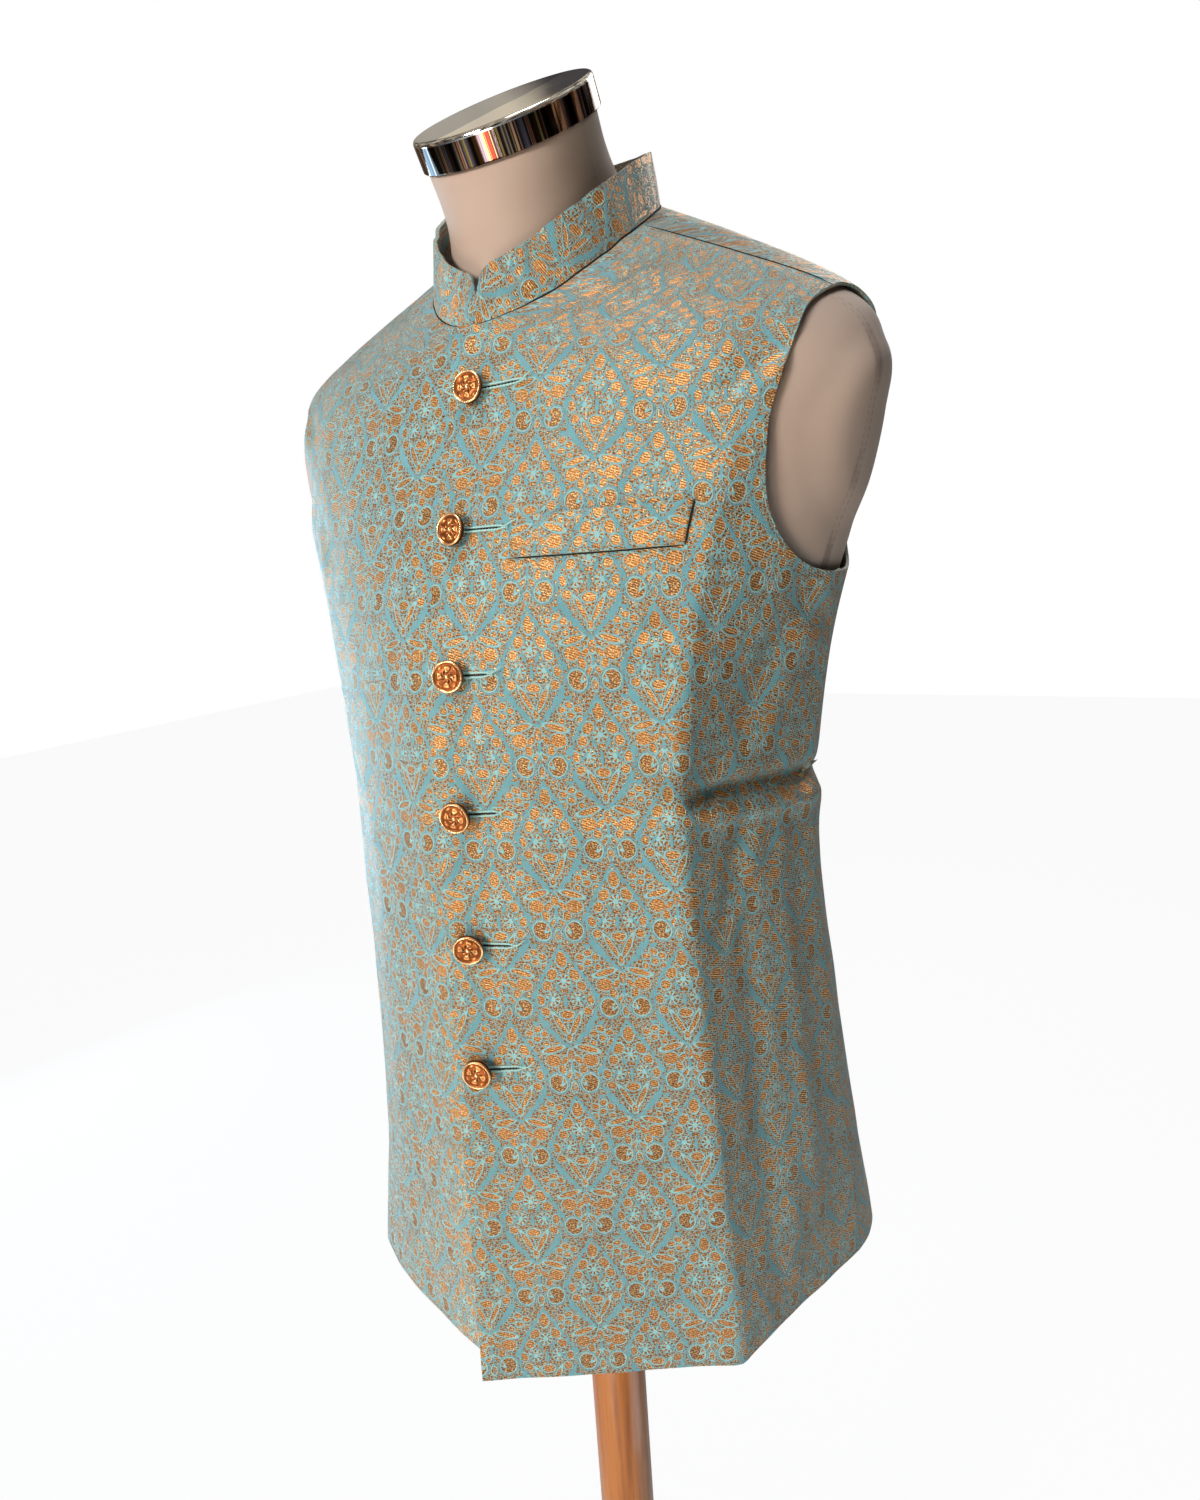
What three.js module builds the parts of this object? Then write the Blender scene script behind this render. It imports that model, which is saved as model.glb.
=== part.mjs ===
// Sleeveless nehru jacket, buttoned on a limbless dress form that stands on a pole and a round base.
// Millimetres, +Z up. The origin is on the pole's axis at the floor, the front faces -Y and the
// wearer's left is +X. The jacket's own rings are written from its hem and moved up at the end.
import * as THREE from 'three';

const HEM_HEIGHT = 680;        // hem above the floor
const POLE_SETBACK = 18;       // the jacket's ring centre lies this far behind the pole
const CLOTH_WALL = 2;          // brocade, canvas and lining together
const SEAM_GAP = 0.3;
const LAP_CLEARANCE = 0.7;     // air between the two fronts where they lap
const LAP_WIDTH = 16;          // each front past the centre line, the left one on top
const COLLAR_HEIGHT = 32;
const COLLAR_END_HEIGHT = 9;
const COLLAR_END_ROUND = 24;   // length over which the collar's ends round up to full height
const COLLAR_WALL = 2.6;
const COLLAR_LEAN = 9;         // degrees inwards
const ARMHOLE_LOW = 532;
const ARMHOLE_HIGH = 703;
const BUTTON_COUNT = 6;
const BUTTON_TOP = 655;        // height of the first button over the hem
const BUTTON_PITCH = 85;
const BUTTON_RADIUS = 10;
const FORM_INSET = 4;          // dress form under the cloth at chest and shoulders
const CAP_RADIUS = 60.3;
const CAP_THICKNESS = 19;
const CAP_TILT = 31.8;         // degrees, low at the front
const POLE_RADIUS = 22.4;
const BASE_RADIUS = 190;
const BASE_HUB_HEIGHT = 34;

// The body's driving sizes, measured from the rings' centre line: half widths at the hem, the waist and
// the shoulders, how far the back's skirt flares past the side, and the depths in front and behind.
const WAIST_LEVEL = 330;
const BELLY_LEVEL = 420;
const SHOULDER_LEVEL = 665;
const NECK_LEVEL = 763;
const HEM_HALF = 186;
const WAIST_HALF = 173;
const SHOULDER_HALF = 228;
const SKIRT_FLARE = 22;
const FRONT_HEM = 168;
const FRONT_BELLY = 158;
const FRONT_NECK = 97;
const BACK_HEM = 176;
const BACK_WAIST = 114;
const BACK_SHOULDER = 98;
const BACK_ROUNDING = 4;       // how much shallower the back's corner is than its centre, at the hem
const CORNER_TOP = 220;        // that rounding has gone by this level

const ease = (t) => t * t * (3 - 2 * t);
const climb = (v, low, high) => Math.min(Math.max((v - low) / (high - low), 0), 1);

// Half width at the side: a straight skirt down to the hem, and an eased swell from waist to shoulders.
function sideHalf(v) {
  const skirt = (HEM_HALF - WAIST_HALF) * (1 - climb(v, 0, WAIST_LEVEL));
  return WAIST_HALF + skirt + (SHOULDER_HALF - WAIST_HALF) * ease(climb(v, WAIST_LEVEL, SHOULDER_LEVEL) ** 1.5);
}

// Depth at centre front: nearly upright to the belly, then eased back to the neck.
function frontDepth(v) {
  const low = (FRONT_HEM - FRONT_BELLY) * (1 - climb(v, 0, BELLY_LEVEL));
  return FRONT_BELLY + low - (FRONT_BELLY - FRONT_NECK) * ease(climb(v, BELLY_LEVEL, NECK_LEVEL) ** 1.08);
}

// Depth at centre back: a skirt that curves out to the hem, and a straight slope up to the shoulders.
function backDepth(v) {
  const skirt = (BACK_HEM - BACK_WAIST) * (1 - climb(v, 0, BELLY_LEVEL)) ** 1.8;
  return BACK_WAIST + skirt - (BACK_WAIST - BACK_SHOULDER) * climb(v, BELLY_LEVEL, SHOULDER_LEVEL);
}

// Each ring of the body is named by its height v at the side seam. zf and zb are its heights at centre
// front and centre back, yf and yb its depths there. kx, ky is the corner that the wearer's left front
// bends round, kr that corner's x on the right. sx, sy is the side, bx, by the corner of the back. hf
// and hb say how sharply the ring turns its front and back corners.
const RING_COLUMNS = ['v', 'zf', 'zb', 'yf', 'kx', 'ky', 'kr', 'sx', 'sy', 'bx', 'by', 'yb', 'hf', 'hb'];

// Skirt and waist: level rings with a bent front corner, one row each.
const SKIRT_ROWS = [            // v, kx, ky, kr, sy, hf, hb
  [0, 156, -100, 204, 55, 0.96, 0.66],
  [110, 157, -110, 188, 40, 0.86, 0.62],
  [220, 161, -124, 178, 22, 0.76, 0.58],
  [330, 167, -142, 174, 5, 0.66, 0.57],
  [420, 174, -152, 174, 0, 0.59, 0.57],
];
// Chest: rings without a bent corner, that fall in front and rise behind.
const CHEST_ROWS = [            // v, zf, zb, hf
  [500, 498, 502, 0.56],
  [570, 562, 574, 0.55],
  [625, 604, 634, 0.55],
  [665, 632, 676, 0.55],
];
// Shoulder slope up to the neck, where the ring's side and back draw in.
const SLOPE_ROWS = [            // v, zf, zb, side, back
  [690, 650, 706, 216, 95],
  [705, 662, 726, 196, 92],
  [735, 678, 764, 138, 84],
  [763, 694, 792, 75, 74],
];
const ROUND_TURN = 0.57;

function skirtRing([v, kx, ky, kr, sy, hf, hb]) {
  const side = sideHalf(v);
  const flare = SKIRT_FLARE * (1 - climb(v, 0, BELLY_LEVEL)) ** 2;
  const corner = backDepth(v) - BACK_ROUNDING * (1 - climb(v, 0, CORNER_TOP));
  return [v, v, v, -frontDepth(v), kx, ky, kr, side, sy, side + flare, corner, backDepth(v), hf, hb];
}

function plainRing(v, zf, zb, side, back, hf) {
  const front = -frontDepth(v);
  return [v, zf, zb, front, side, front, side, side, 0, side, back, back, hf, ROUND_TURN];
}

const chestRings = CHEST_ROWS.map(([v, zf, zb, hf]) => plainRing(v, zf, zb, sideHalf(v), backDepth(v), hf));
const slopeRings = SLOPE_ROWS.map(([v, zf, zb, side, back]) => plainRing(v, zf, zb, side, back, 0.55));
const JACKET_RINGS = [...SKIRT_ROWS.map(skirtRing), ...chestRings, ...slopeRings];

// The dress form's rings, in the same columns, with its inset under the jacket's outside: under the
// chest and shoulders they are the jacket's own rings.
const FORM_COLUMNS = [...RING_COLUMNS, 'inset'];
const FORM_RINGS = [
  [80, 80, 80, -124, 152, -124, 152, 154, 0, 154, 108, 108, 0.56, 0.57, 0],
  [180, 180, 180, -126, 154, -126, 154, 156, 0, 156, 106, 106, 0.56, 0.57, 0],
  [330, 330, 330, -120, 144, -120, 144, 145, 0, 145, 90, 90, 0.56, 0.57, 0],
  [420, 420, 420, -134, 158, -134, 158, 158, 0, 158, 98, 98, 0.56, 0.57, 0],
  [500, 498, 502, -146, 185, -144, 185, 186, 0, 186, 106, 106, 0.56, 0.57, FORM_INSET],
  ...[...chestRings.slice(1), ...slopeRings.slice(0, 2)].map((ring) => [...ring, FORM_INSET]),
  [735, 679, 763, -95, 134, -95, 134, 134, 0, 134, 82, 82, 0.55, 0.57, FORM_INSET],
  [755, 698, 781, -84, 72, -84, 72, 72, -4, 72, 62, 62, 0.56, 0.57, 1],
  [775, 722, 802, -80, 58, -80, 58, 58, -14, 58, 42, 42, 0.56, 0.56, 0],
  [797, 752, 822, -82, 54, -82, 54, 54, -28, 54, 24, 24, 0.56, 0.56, 0],
  [814.4, 784.6, 844.2, -90, 57, -90, 57, 57, -42, 57, 6, 6, 0.56, 0.56, 0],
];

// The deep folds that the waist throws at each side: from u0, v0 to u1, v1, with the trough's half
// width and depth, and the height of the ledge of cloth that stands under it.
const FOLD_COLUMNS = ['u0', 'v0', 'u1', 'v1', 'width', 'depth', 'ledge'];
const FOLDS = [
  [0.26, 405, 0.55, 396, 10, 8, 4],
  [0.55, 396, 0.74, 404, 13, 4, 2.5],
  [-0.30, 410, -0.60, 400, 12, 6, 3],
  [-0.60, 400, -0.76, 392, 13, 4, 2],
];
const FOLD_SCALE = 500;        // millimetres of cloth per unit of u, near enough for a fold

// Angle that each button hangs at, in degrees: nod forwards, then swing to the wearer's left.
const BUTTON_HANG = [[6, 4], [9, -5], [5, 8], [8, -6], [10, 5], [4, -8]];

const SHOULDER_U = 0.462;      // shoulder seam, a little before the side's ridge
const SIDE_U = 0.5;
const ARMHOLE_FRONT_CUT = 0.19;
const ARMHOLE_BACK_CUT = 0.17;
const ARMHOLE_SQUARENESS = 2.5;

const namedRow = (columns, row) => Object.fromEntries(columns.map((name, k) => [name, row[k]]));
const rad = THREE.MathUtils.degToRad;
const lerp = THREE.MathUtils.lerp;
const smoothstep = THREE.MathUtils.smoothstep;
const clamp = THREE.MathUtils.clamp;

// Slope of column k at row i, weighted by the spacing of its neighbours.
function slope(rows, i, k) {
  const before = rows[Math.max(i - 1, 0)];
  const here = rows[i];
  const after = rows[Math.min(i + 1, rows.length - 1)];
  if (before === here) return (after[k] - here[k]) / (after[0] - here[0]);
  if (after === here) return (here[k] - before[k]) / (here[0] - before[0]);
  const low = here[0] - before[0];
  const high = after[0] - here[0];
  const rise = (after[k] - here[k]) / high;
  const fall = (here[k] - before[k]) / low;
  return (rise * low + fall * high) / (low + high);
}

// The ring at level v, every column a smooth curve through the table's rows.
function ringAt(rows, columns, v) {
  let i = rows.length - 2;
  while (i > 0 && rows[i][0] > v) i -= 1;
  const step = rows[i + 1][0] - rows[i][0];
  const t = (v - rows[i][0]) / step;
  const start = 2 * t ** 3 - 3 * t ** 2 + 1;
  const startSlope = (t ** 3 - 2 * t ** 2 + t) * step;
  const endSlope = (t ** 3 - t ** 2) * step;
  const values = columns.map((_, k) => start * rows[i][k] + (1 - start) * rows[i + 1][k]
    + startSlope * slope(rows, i, k) + endSlope * slope(rows, i + 1, k));
  return namedRow(columns, values);
}

const bezier = (t, a, b, c, d) => (1 - t) ** 3 * a + 3 * (1 - t) ** 2 * t * b
  + 3 * (1 - t) * t * t * c + t ** 3 * d;

// A point of the body's surface: u runs from 0 at centre front through 0.5 at the wearer's left
// side to 1 at centre back, and through negative values on the right. The ring's height follows
// a parabola in depth through its front, side and back heights.
function bodyPoint(rows, columns, u, v) {
  const ring = ringAt(rows, columns, v);
  const around = u > 1 ? u - 2 : u;
  const side = Math.sign(around) || 1;
  const share = Math.abs(around);
  const { yf, ky, sx, sy, bx, by, yb, hf, hb } = ring;
  const kx = around < 0 ? ring.kr : ring.kx;
  let x;
  let y;
  if (share <= SIDE_U) {
    const t = share * 2;
    x = bezier(t, 0, kx * hf, sx + (kx - sx) * hf, sx);
    y = bezier(t, yf, yf + (ky - yf) * hf, sy + (ky - sy) * hf, sy);
  } else {
    const t = share * 2 - 1;
    x = bezier(t, sx, sx + (bx - sx) * hb, bx * hb, 0);
    y = bezier(t, sy, sy + (by - sy) * hb, yb + (by - yb) * hb, yb);
  }
  const frontReach = yf - sy;
  const backReach = yb - sy;
  const frontRise = (ring.zf - ring.v) / frontReach;
  const backRise = (ring.zb - ring.v) / backReach;
  const bend = (frontRise - backRise) / (frontReach - backReach);
  const depth = y - sy;
  const z = ring.v + (frontRise - bend * frontReach) * depth + bend * depth * depth;
  return new THREE.Vector3(side * x, y, z);
}

const jacketPoint = (u, v) => bodyPoint(JACKET_RINGS, RING_COLUMNS, u, Math.min(v, NECK_LEVEL));
const formPoint = (u, v) => bodyPoint(FORM_RINGS, FORM_COLUMNS, u, v);

// Outward direction of a surface function at u, v.
function outward(surface, u, v, low, high) {
  const across = surface(u + 0.002, v).sub(surface(u - 0.002, v));
  const up = surface(u, Math.min(v + 1, high)).sub(surface(u, Math.max(v - 1, low)));
  return across.cross(up).normalize();
}

// How far the folds push the cloth out (ledges) or in (troughs) at u, v.
function foldHeight(u, v) {
  let height = 0;
  for (const row of FOLDS) {
    const fold = namedRow(FOLD_COLUMNS, row);
    const run = new THREE.Vector2((fold.u1 - fold.u0) * FOLD_SCALE, fold.v1 - fold.v0);
    const here = new THREE.Vector2((u - fold.u0) * FOLD_SCALE, v - fold.v0);
    const along = here.dot(run) / run.lengthSq();
    const above = v - lerp(fold.v0, fold.v1, clamp(along, 0, 1));
    const ends = smoothstep(along, -0.15, 0.15) * (1 - smoothstep(along, 0.8, 1.2));
    const trough = Math.exp(-((above / fold.width) ** 2));
    const ledge = Math.exp(-((above / fold.width + 1.7) ** 2));
    height += ends * (fold.ledge * ledge - fold.depth * trough);
  }
  return height;
}

// The left front, moved out by offset. Over the underlap it is lifted by the other front's wall,
// and past the centre line it runs straight on.
function leftFront(u, v, offset = 0) {
  const step = 0.004;
  const spread = (across, level) => {
    if (across >= 0) return jacketPoint(across, level);
    const edge = jacketPoint(0, level);
    return edge.add(jacketPoint(step, level).sub(edge).multiplyScalar(across / step));
  };
  const lift = (CLOTH_WALL + LAP_CLEARANCE) * (1 - smoothstep(u, 0.06, 0.2));
  return spread(u, v).addScaledVector(outward(spread, u, v, 0, NECK_LEVEL), lift + foldHeight(u, v) + offset);
}

// The right front and the back lie on the body's surface itself.
function plainCloth(u, v, offset = 0) {
  const around = u > 1 ? u - 2 : u;
  return jacketPoint(u, v).addScaledVector(outward(jacketPoint, u, v, 0, NECK_LEVEL), foldHeight(around, v) + offset);
}

// How far in u the armhole cuts into a panel at level v: a squared oval from ARMHOLE_LOW up to the shoulder.
function armholeShare(v) {
  const height = clamp((v - ARMHOLE_LOW) / (ARMHOLE_HIGH - ARMHOLE_LOW), 0, 1);
  return (1 - Math.abs(2 * height - 1) ** ARMHOLE_SQUARENESS) ** (1 / ARMHOLE_SQUARENESS);
}
const seamU = (v) => lerp(SIDE_U, SHOULDER_U, clamp((v - ARMHOLE_LOW) / (ARMHOLE_HIGH - ARMHOLE_LOW), 0, 1));
const SEAM_SHARE = SEAM_GAP / 2 / FOLD_SCALE;
const frontEdge = (v) => seamU(v) - ARMHOLE_FRONT_CUT * armholeShare(v) - SEAM_SHARE;
const backEdge = (v) => seamU(v) + ARMHOLE_BACK_CUT * armholeShare(v) + SEAM_SHARE * 2;

// Levels of the cloth's rows: even over the skirt, close at the waist folds and round the armhole.
function clothLevels() {
  const skirt = [0, 45, 90, 135, 180, 225, 270, 310, 345];
  const waist = [370, 382, 390, 398, 406, 414, 424, 440];
  const chest = [465, 490, 512];
  const armhole = Array.from({ length: 12 }, (_, k) => lerp(
    ARMHOLE_LOW, ARMHOLE_HIGH, (1 - Math.cos(Math.PI * k / 11)) / 2));
  return [...skirt, ...waist, ...chest, ...armhole, 710, 719, 734, 750, NECK_LEVEL];
}

// A closed wall between an outer and an inner grid of points, both with rows that run along u.
function shell(outer, inner) {
  const columns = outer[0].length;
  const rows = outer.length;
  const points = [...outer.flat(), ...inner.flat()];
  const out = (i, j) => j * columns + i;
  const inn = (i, j) => rows * columns + j * columns + i;
  const faces = [];
  const quad = (a, b, c, d) => faces.push(a, b, c, a, c, d);
  for (let j = 0; j < rows - 1; j += 1) {
    for (let i = 0; i < columns - 1; i += 1) {
      quad(out(i, j), out(i + 1, j), out(i + 1, j + 1), out(i, j + 1));
      quad(inn(i, j), inn(i, j + 1), inn(i + 1, j + 1), inn(i + 1, j));
    }
    quad(out(0, j), out(0, j + 1), inn(0, j + 1), inn(0, j));
    quad(out(columns - 1, j), inn(columns - 1, j), inn(columns - 1, j + 1), out(columns - 1, j + 1));
  }
  for (let i = 0; i < columns - 1; i += 1) {
    quad(out(i, 0), inn(i, 0), inn(i + 1, 0), out(i + 1, 0));
    quad(out(i, rows - 1), out(i + 1, rows - 1), inn(i + 1, rows - 1), inn(i, rows - 1));
  }
  return geometryOf(points, faces);
}

function geometryOf(points, faces) {
  const geometry = new THREE.BufferGeometry();
  geometry.setAttribute('position', new THREE.Float32BufferAttribute(points.flatMap((p) => p.toArray()), 3));
  geometry.setIndex(faces);
  geometry.computeVertexNormals();
  return geometry;
}

// The back, in one piece from side seam to side seam.
function backPanel(columns) {
  const grid = (offset) => clothLevels().map((v) => Array.from({ length: columns + 1 },
    (_, i) => plainCloth(lerp(backEdge(v), 2 - backEdge(v), i / columns), v, offset)));
  return shell(grid(0), grid(-CLOTH_WALL));
}

// The lap's width at level v, in u.
const lapU = (v) => LAP_WIDTH * 0.01 / jacketPoint(0.01, v).distanceTo(jacketPoint(0, v));

// A front: the lap's columns are the same in both fronts, so that they lie flat on each other there.
function frontPanel(cloth, side, columns) {
  const row = (v, offset) => {
    const lap = lapU(v);
    const rest = Array.from({ length: columns }, (_, i) => lerp(lap, frontEdge(v), (i + 1) / columns));
    const shares = [-lap, -lap / 2, 0, lap / 2, lap, ...rest].map((share) => share * side);
    if (side < 0) shares.reverse();
    return shares.map((u) => cloth(u, v, offset));
  };
  const levels = clothLevels();
  return shell(levels.map((v) => row(v, 0)), levels.map((v) => row(v, -CLOTH_WALL)));
}

// Collar: a band that stands on the neckline, leans in and rounds off at its two front ends.
function collarGeometry() {
  const columns = 44;
  const samples = 400;
  const neck = (w) => {
    const u = clamp(w, 0.004, 1.996);
    return u < 1 ? leftFront(u, NECK_LEVEL) : plainCloth(u, NECK_LEVEL);
  };
  const shares = Array.from({ length: samples + 1 }, (_, k) => lerp(0.004, 1.996, k / samples));
  const lengths = [0];
  for (let k = 1; k <= samples; k += 1) {
    lengths.push(lengths[k - 1] + neck(shares[k]).distanceTo(neck(shares[k - 1])));
  }
  const total = lengths[samples];
  const shareAt = (length) => {
    const k = clamp(lengths.findIndex((value) => value >= length), 1, samples);
    return lerp(shares[k - 1], shares[k], (length - lengths[k - 1]) / (lengths[k] - lengths[k - 1]));
  };
  const column = (i, height, depth) => {
    const length = total * (1 - Math.cos(Math.PI * i / columns)) / 2;
    const w = shareAt(length);
    const along = neck(w + 0.01).sub(neck(w - 0.01)).normalize();
    const away = new THREE.Vector3(along.y, -along.x, 0).normalize();
    const rise = away.clone().cross(along).normalize();
    if (rise.z < 0) rise.negate();
    const lean = rad(COLLAR_LEAN);
    const up = rise.clone().multiplyScalar(Math.cos(lean)).addScaledVector(away, -Math.sin(lean));
    const out = away.clone().multiplyScalar(Math.cos(lean)).addScaledVector(rise, Math.sin(lean));
    const fromEnd = clamp(Math.min(length, total - length) / COLLAR_END_ROUND, 0, 1);
    const round = (1 - (1 - fromEnd) ** 2.4) ** (1 / 2.4);
    const full = lerp(COLLAR_END_HEIGHT, COLLAR_HEIGHT, round);
    return neck(w).addScaledVector(up, SEAM_GAP + 0.2 + full * height).addScaledVector(out, -depth);
  };
  const grid = (depth) => [0, 0.35, 0.7, 1].map((height) => Array.from({ length: columns + 1 },
    (_, i) => column(i, height, depth)));
  return shell(grid(0), grid(COLLAR_WALL));
}

// Welt of the chest pocket, a band sewn on the left front.
function weltGeometry() {
  const welt = { u0: 0.056, u1: 0.226, bottom: 558.5, top: 586.5, columns: 8, gap: 0.4, wall: 1.6 };
  const grid = (offset) => [welt.bottom, welt.top].map((v) => Array.from({ length: welt.columns + 1 },
    (_, i) => leftFront(lerp(welt.u0, welt.u1, i / welt.columns), v, offset)));
  return shell(grid(welt.gap + welt.wall), grid(welt.gap));
}

// Shank button along +Z: shank, flat back, rim and a low dome inside the rim.
function buttonGeometry() {
  const r = BUTTON_RADIUS;
  const profile = [[0, 0.8], [2.6, 0.8], [2.6, 3.8], [0.84 * r, 4], [r, 5.2], [r, 7], [0.93 * r, 7.9],
    [0.82 * r, 7.4], [0.45 * r, 8.3], [0, 8.6]];
  return lathe(profile, 18);
}

// Body of revolution about +Z from [radius, height] pairs, bottom first.
function lathe(profile, segments) {
  const points = profile.map(([radius, height]) => new THREE.Vector2(radius, height));
  const geometry = new THREE.LatheGeometry(points, segments);
  geometry.rotateX(Math.PI / 2);
  return geometry;
}

// Level v whose ring passes centre front at height z.
function levelAtFront(z) {
  let low = 0;
  let high = NECK_LEVEL;
  for (let k = 0; k < 40; k += 1) {
    const middle = (low + high) / 2;
    if (jacketPoint(0, middle).z < z) low = middle;
    else high = middle;
  }
  return low;
}

function placeButton(mesh, index) {
  const v = levelAtFront(BUTTON_TOP - index * BUTTON_PITCH);
  const [nod, swing] = BUTTON_HANG[index].map(rad);
  const facing = leftFront(0, v, 1).sub(leftFront(0, v));
  mesh.position.copy(leftFront(0, v));
  mesh.quaternion.setFromUnitVectors(new THREE.Vector3(0, 0, 1), facing.normalize());
  mesh.quaternion.premultiply(new THREE.Quaternion().setFromEuler(new THREE.Euler(nod, 0, swing)));
}

// Dress form: rings closed by a flat underside and by the slanting neck top. In the armholes it
// swells out to the level of the cloth round it.
function formGeometry() {
  const columns = 40;
  const levels = [80, 130, 180, 255, 330, 375, 420, 460, 500, 535, 570, 600, 625, 648, 665, 680, 692,
    705, 720, 735, 746, 755, 765, 775, 786, 797, 814.4];
  const surface = (u, v) => {
    const around = u > 1 ? u - 2 : u;
    const share = Math.abs(around) - seamU(v);
    const cut = share < 0 ? ARMHOLE_FRONT_CUT : ARMHOLE_BACK_CUT;
    const height = clamp((v - ARMHOLE_LOW) / (ARMHOLE_HIGH - ARMHOLE_LOW), 0, 1);
    const fromMiddle = Math.hypot(share / cut, 2 * height - 1);
    const swell = (FORM_INSET - 0.4) * (1 - smoothstep(fromMiddle, 0.4, 0.75));
    const inset = ringAt(FORM_RINGS, FORM_COLUMNS, v).inset - swell;
    return formPoint(u, v).addScaledVector(outward(formPoint, u, v, 80, 814.4), -inset);
  };
  const points = levels.flatMap((v) => Array.from({ length: columns }, (_, i) => surface(2 * i / columns, v)));
  const faces = [];
  for (let j = 0; j < levels.length - 1; j += 1) {
    for (let i = 0; i < columns; i += 1) {
      const next = (i + 1) % columns;
      const [a, b] = [j * columns + i, j * columns + next];
      faces.push(a, b, b + columns, a, b + columns, a + columns);
    }
  }
  const last = (levels.length - 1) * columns;
  for (let i = 1; i < columns - 1; i += 1) {
    faces.push(0, i + 1, i);
    faces.push(last, last + i, last + i + 1);
  }
  return geometryOf(points, faces);
}

function capGeometry() {
  const r = CAP_RADIUS;
  const t = CAP_THICKNESS;
  return lathe([[0, 0], [r - 1, 0], [r, 1], [r, t - 1.6], [r - 1.6, t], [0, t]], 48);
}

const MATERIALS = {
  brocade: { color: 0x6fa3a8, roughness: 0.62, metalness: 0 },
  button_metal: { color: 0xa5683c, roughness: 0.38, metalness: 0.9 },
  form_linen: { color: 0xb59a8a, roughness: 0.85, metalness: 0 },
  cap_chrome: { color: 0xd9dadc, roughness: 0.06, metalness: 1 },
  stand_wood: { color: 0x8a4a16, roughness: 0.3, metalness: 0 },
};

function piece(name, geometry, finish) {
  const mesh = new THREE.Mesh(geometry, new THREE.MeshStandardMaterial(MATERIALS[finish]));
  mesh.name = name;
  return mesh;
}

function jacket() {
  const group = new THREE.Group();
  group.add(piece('front_left', frontPanel(leftFront, 1, 12), 'brocade'));
  group.add(piece('front_right', frontPanel(plainCloth, -1, 12), 'brocade'));
  group.add(piece('back', backPanel(24), 'brocade'));
  group.add(piece('collar', collarGeometry(), 'brocade'));
  group.add(piece('pocket_welt', weltGeometry(), 'brocade'));
  for (let index = 0; index < BUTTON_COUNT; index += 1) {
    const button = piece(`button_${index + 1}`, buttonGeometry(), 'button_metal');
    placeButton(button, index);
    group.add(button);
  }
  return group;
}

function dressForm() {
  const group = new THREE.Group();
  group.add(piece('form_body', formGeometry(), 'form_linen'));
  const cap = piece('neck_cap', capGeometry(), 'cap_chrome');
  cap.position.set(0, -41.5, 815.1);
  cap.rotation.x = rad(CAP_TILT);
  group.add(cap);
  return group;
}

function stand() {
  const group = new THREE.Group();
  const poleLow = BASE_HUB_HEIGHT + SEAM_GAP;
  const poleHigh = HEM_HEIGHT + FORM_RINGS[0][0] - SEAM_GAP;
  const pole = [[0, poleLow], [POLE_RADIUS, poleLow], [POLE_RADIUS, poleHigh], [0, poleHigh]];
  group.add(piece('pole', lathe(pole, 32), 'stand_wood'));
  const r = BASE_RADIUS;
  const base = [[0, 0], [r - 2, 0], [r, 2], [r, 14], [r - 6, 20], [52, 22], [36, 27], [33, BASE_HUB_HEIGHT],
    [0, BASE_HUB_HEIGHT]];
  group.add(piece('base', lathe(base, 48), 'stand_wood'));
  return group;
}

const model = new THREE.Group();
const dressed = new THREE.Group();
dressed.position.set(0, POLE_SETBACK, HEM_HEIGHT);
dressed.add(jacket(), dressForm());
model.add(dressed, stand());

export default model;
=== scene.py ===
import bpy
import numpy as np
from mathutils import Matrix, Vector


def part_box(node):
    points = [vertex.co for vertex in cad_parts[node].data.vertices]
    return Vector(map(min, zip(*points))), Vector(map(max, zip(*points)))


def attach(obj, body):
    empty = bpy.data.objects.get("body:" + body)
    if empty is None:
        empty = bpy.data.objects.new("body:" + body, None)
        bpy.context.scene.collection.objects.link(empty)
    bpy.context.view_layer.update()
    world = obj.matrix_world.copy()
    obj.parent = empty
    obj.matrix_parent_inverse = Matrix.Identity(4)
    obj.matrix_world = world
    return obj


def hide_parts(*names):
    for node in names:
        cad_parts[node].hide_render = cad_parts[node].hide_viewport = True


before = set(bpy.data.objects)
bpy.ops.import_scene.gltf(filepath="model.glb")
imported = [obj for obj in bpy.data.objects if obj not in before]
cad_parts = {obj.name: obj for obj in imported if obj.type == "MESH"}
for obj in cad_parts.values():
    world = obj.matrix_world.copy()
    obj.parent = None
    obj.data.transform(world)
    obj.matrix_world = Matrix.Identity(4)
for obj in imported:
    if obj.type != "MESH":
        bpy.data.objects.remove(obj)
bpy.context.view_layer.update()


# ---- Camera ----
# A short lens close to the jacket, round to the wearer's left and level with the chest, looking
# down and a little rolled.
CAMERA_AZIMUTH = np.radians(30.37)
CAMERA_TURN = np.radians(-0.77)
CAMERA_DIP = np.radians(11.41)
CAMERA_ROLL = np.radians(-3.79)
CAMERA_DISTANCE = 0.7484
CAMERA_OVER_HEM = 0.5572
CAMERA_LENS = 24.32
RING_SETBACK = 0.018           # the jacket's ring centre lies this far behind the pole

hem_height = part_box("front_left")[0].z
jacket_centre = np.array([0, RING_SETBACK, hem_height])

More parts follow.
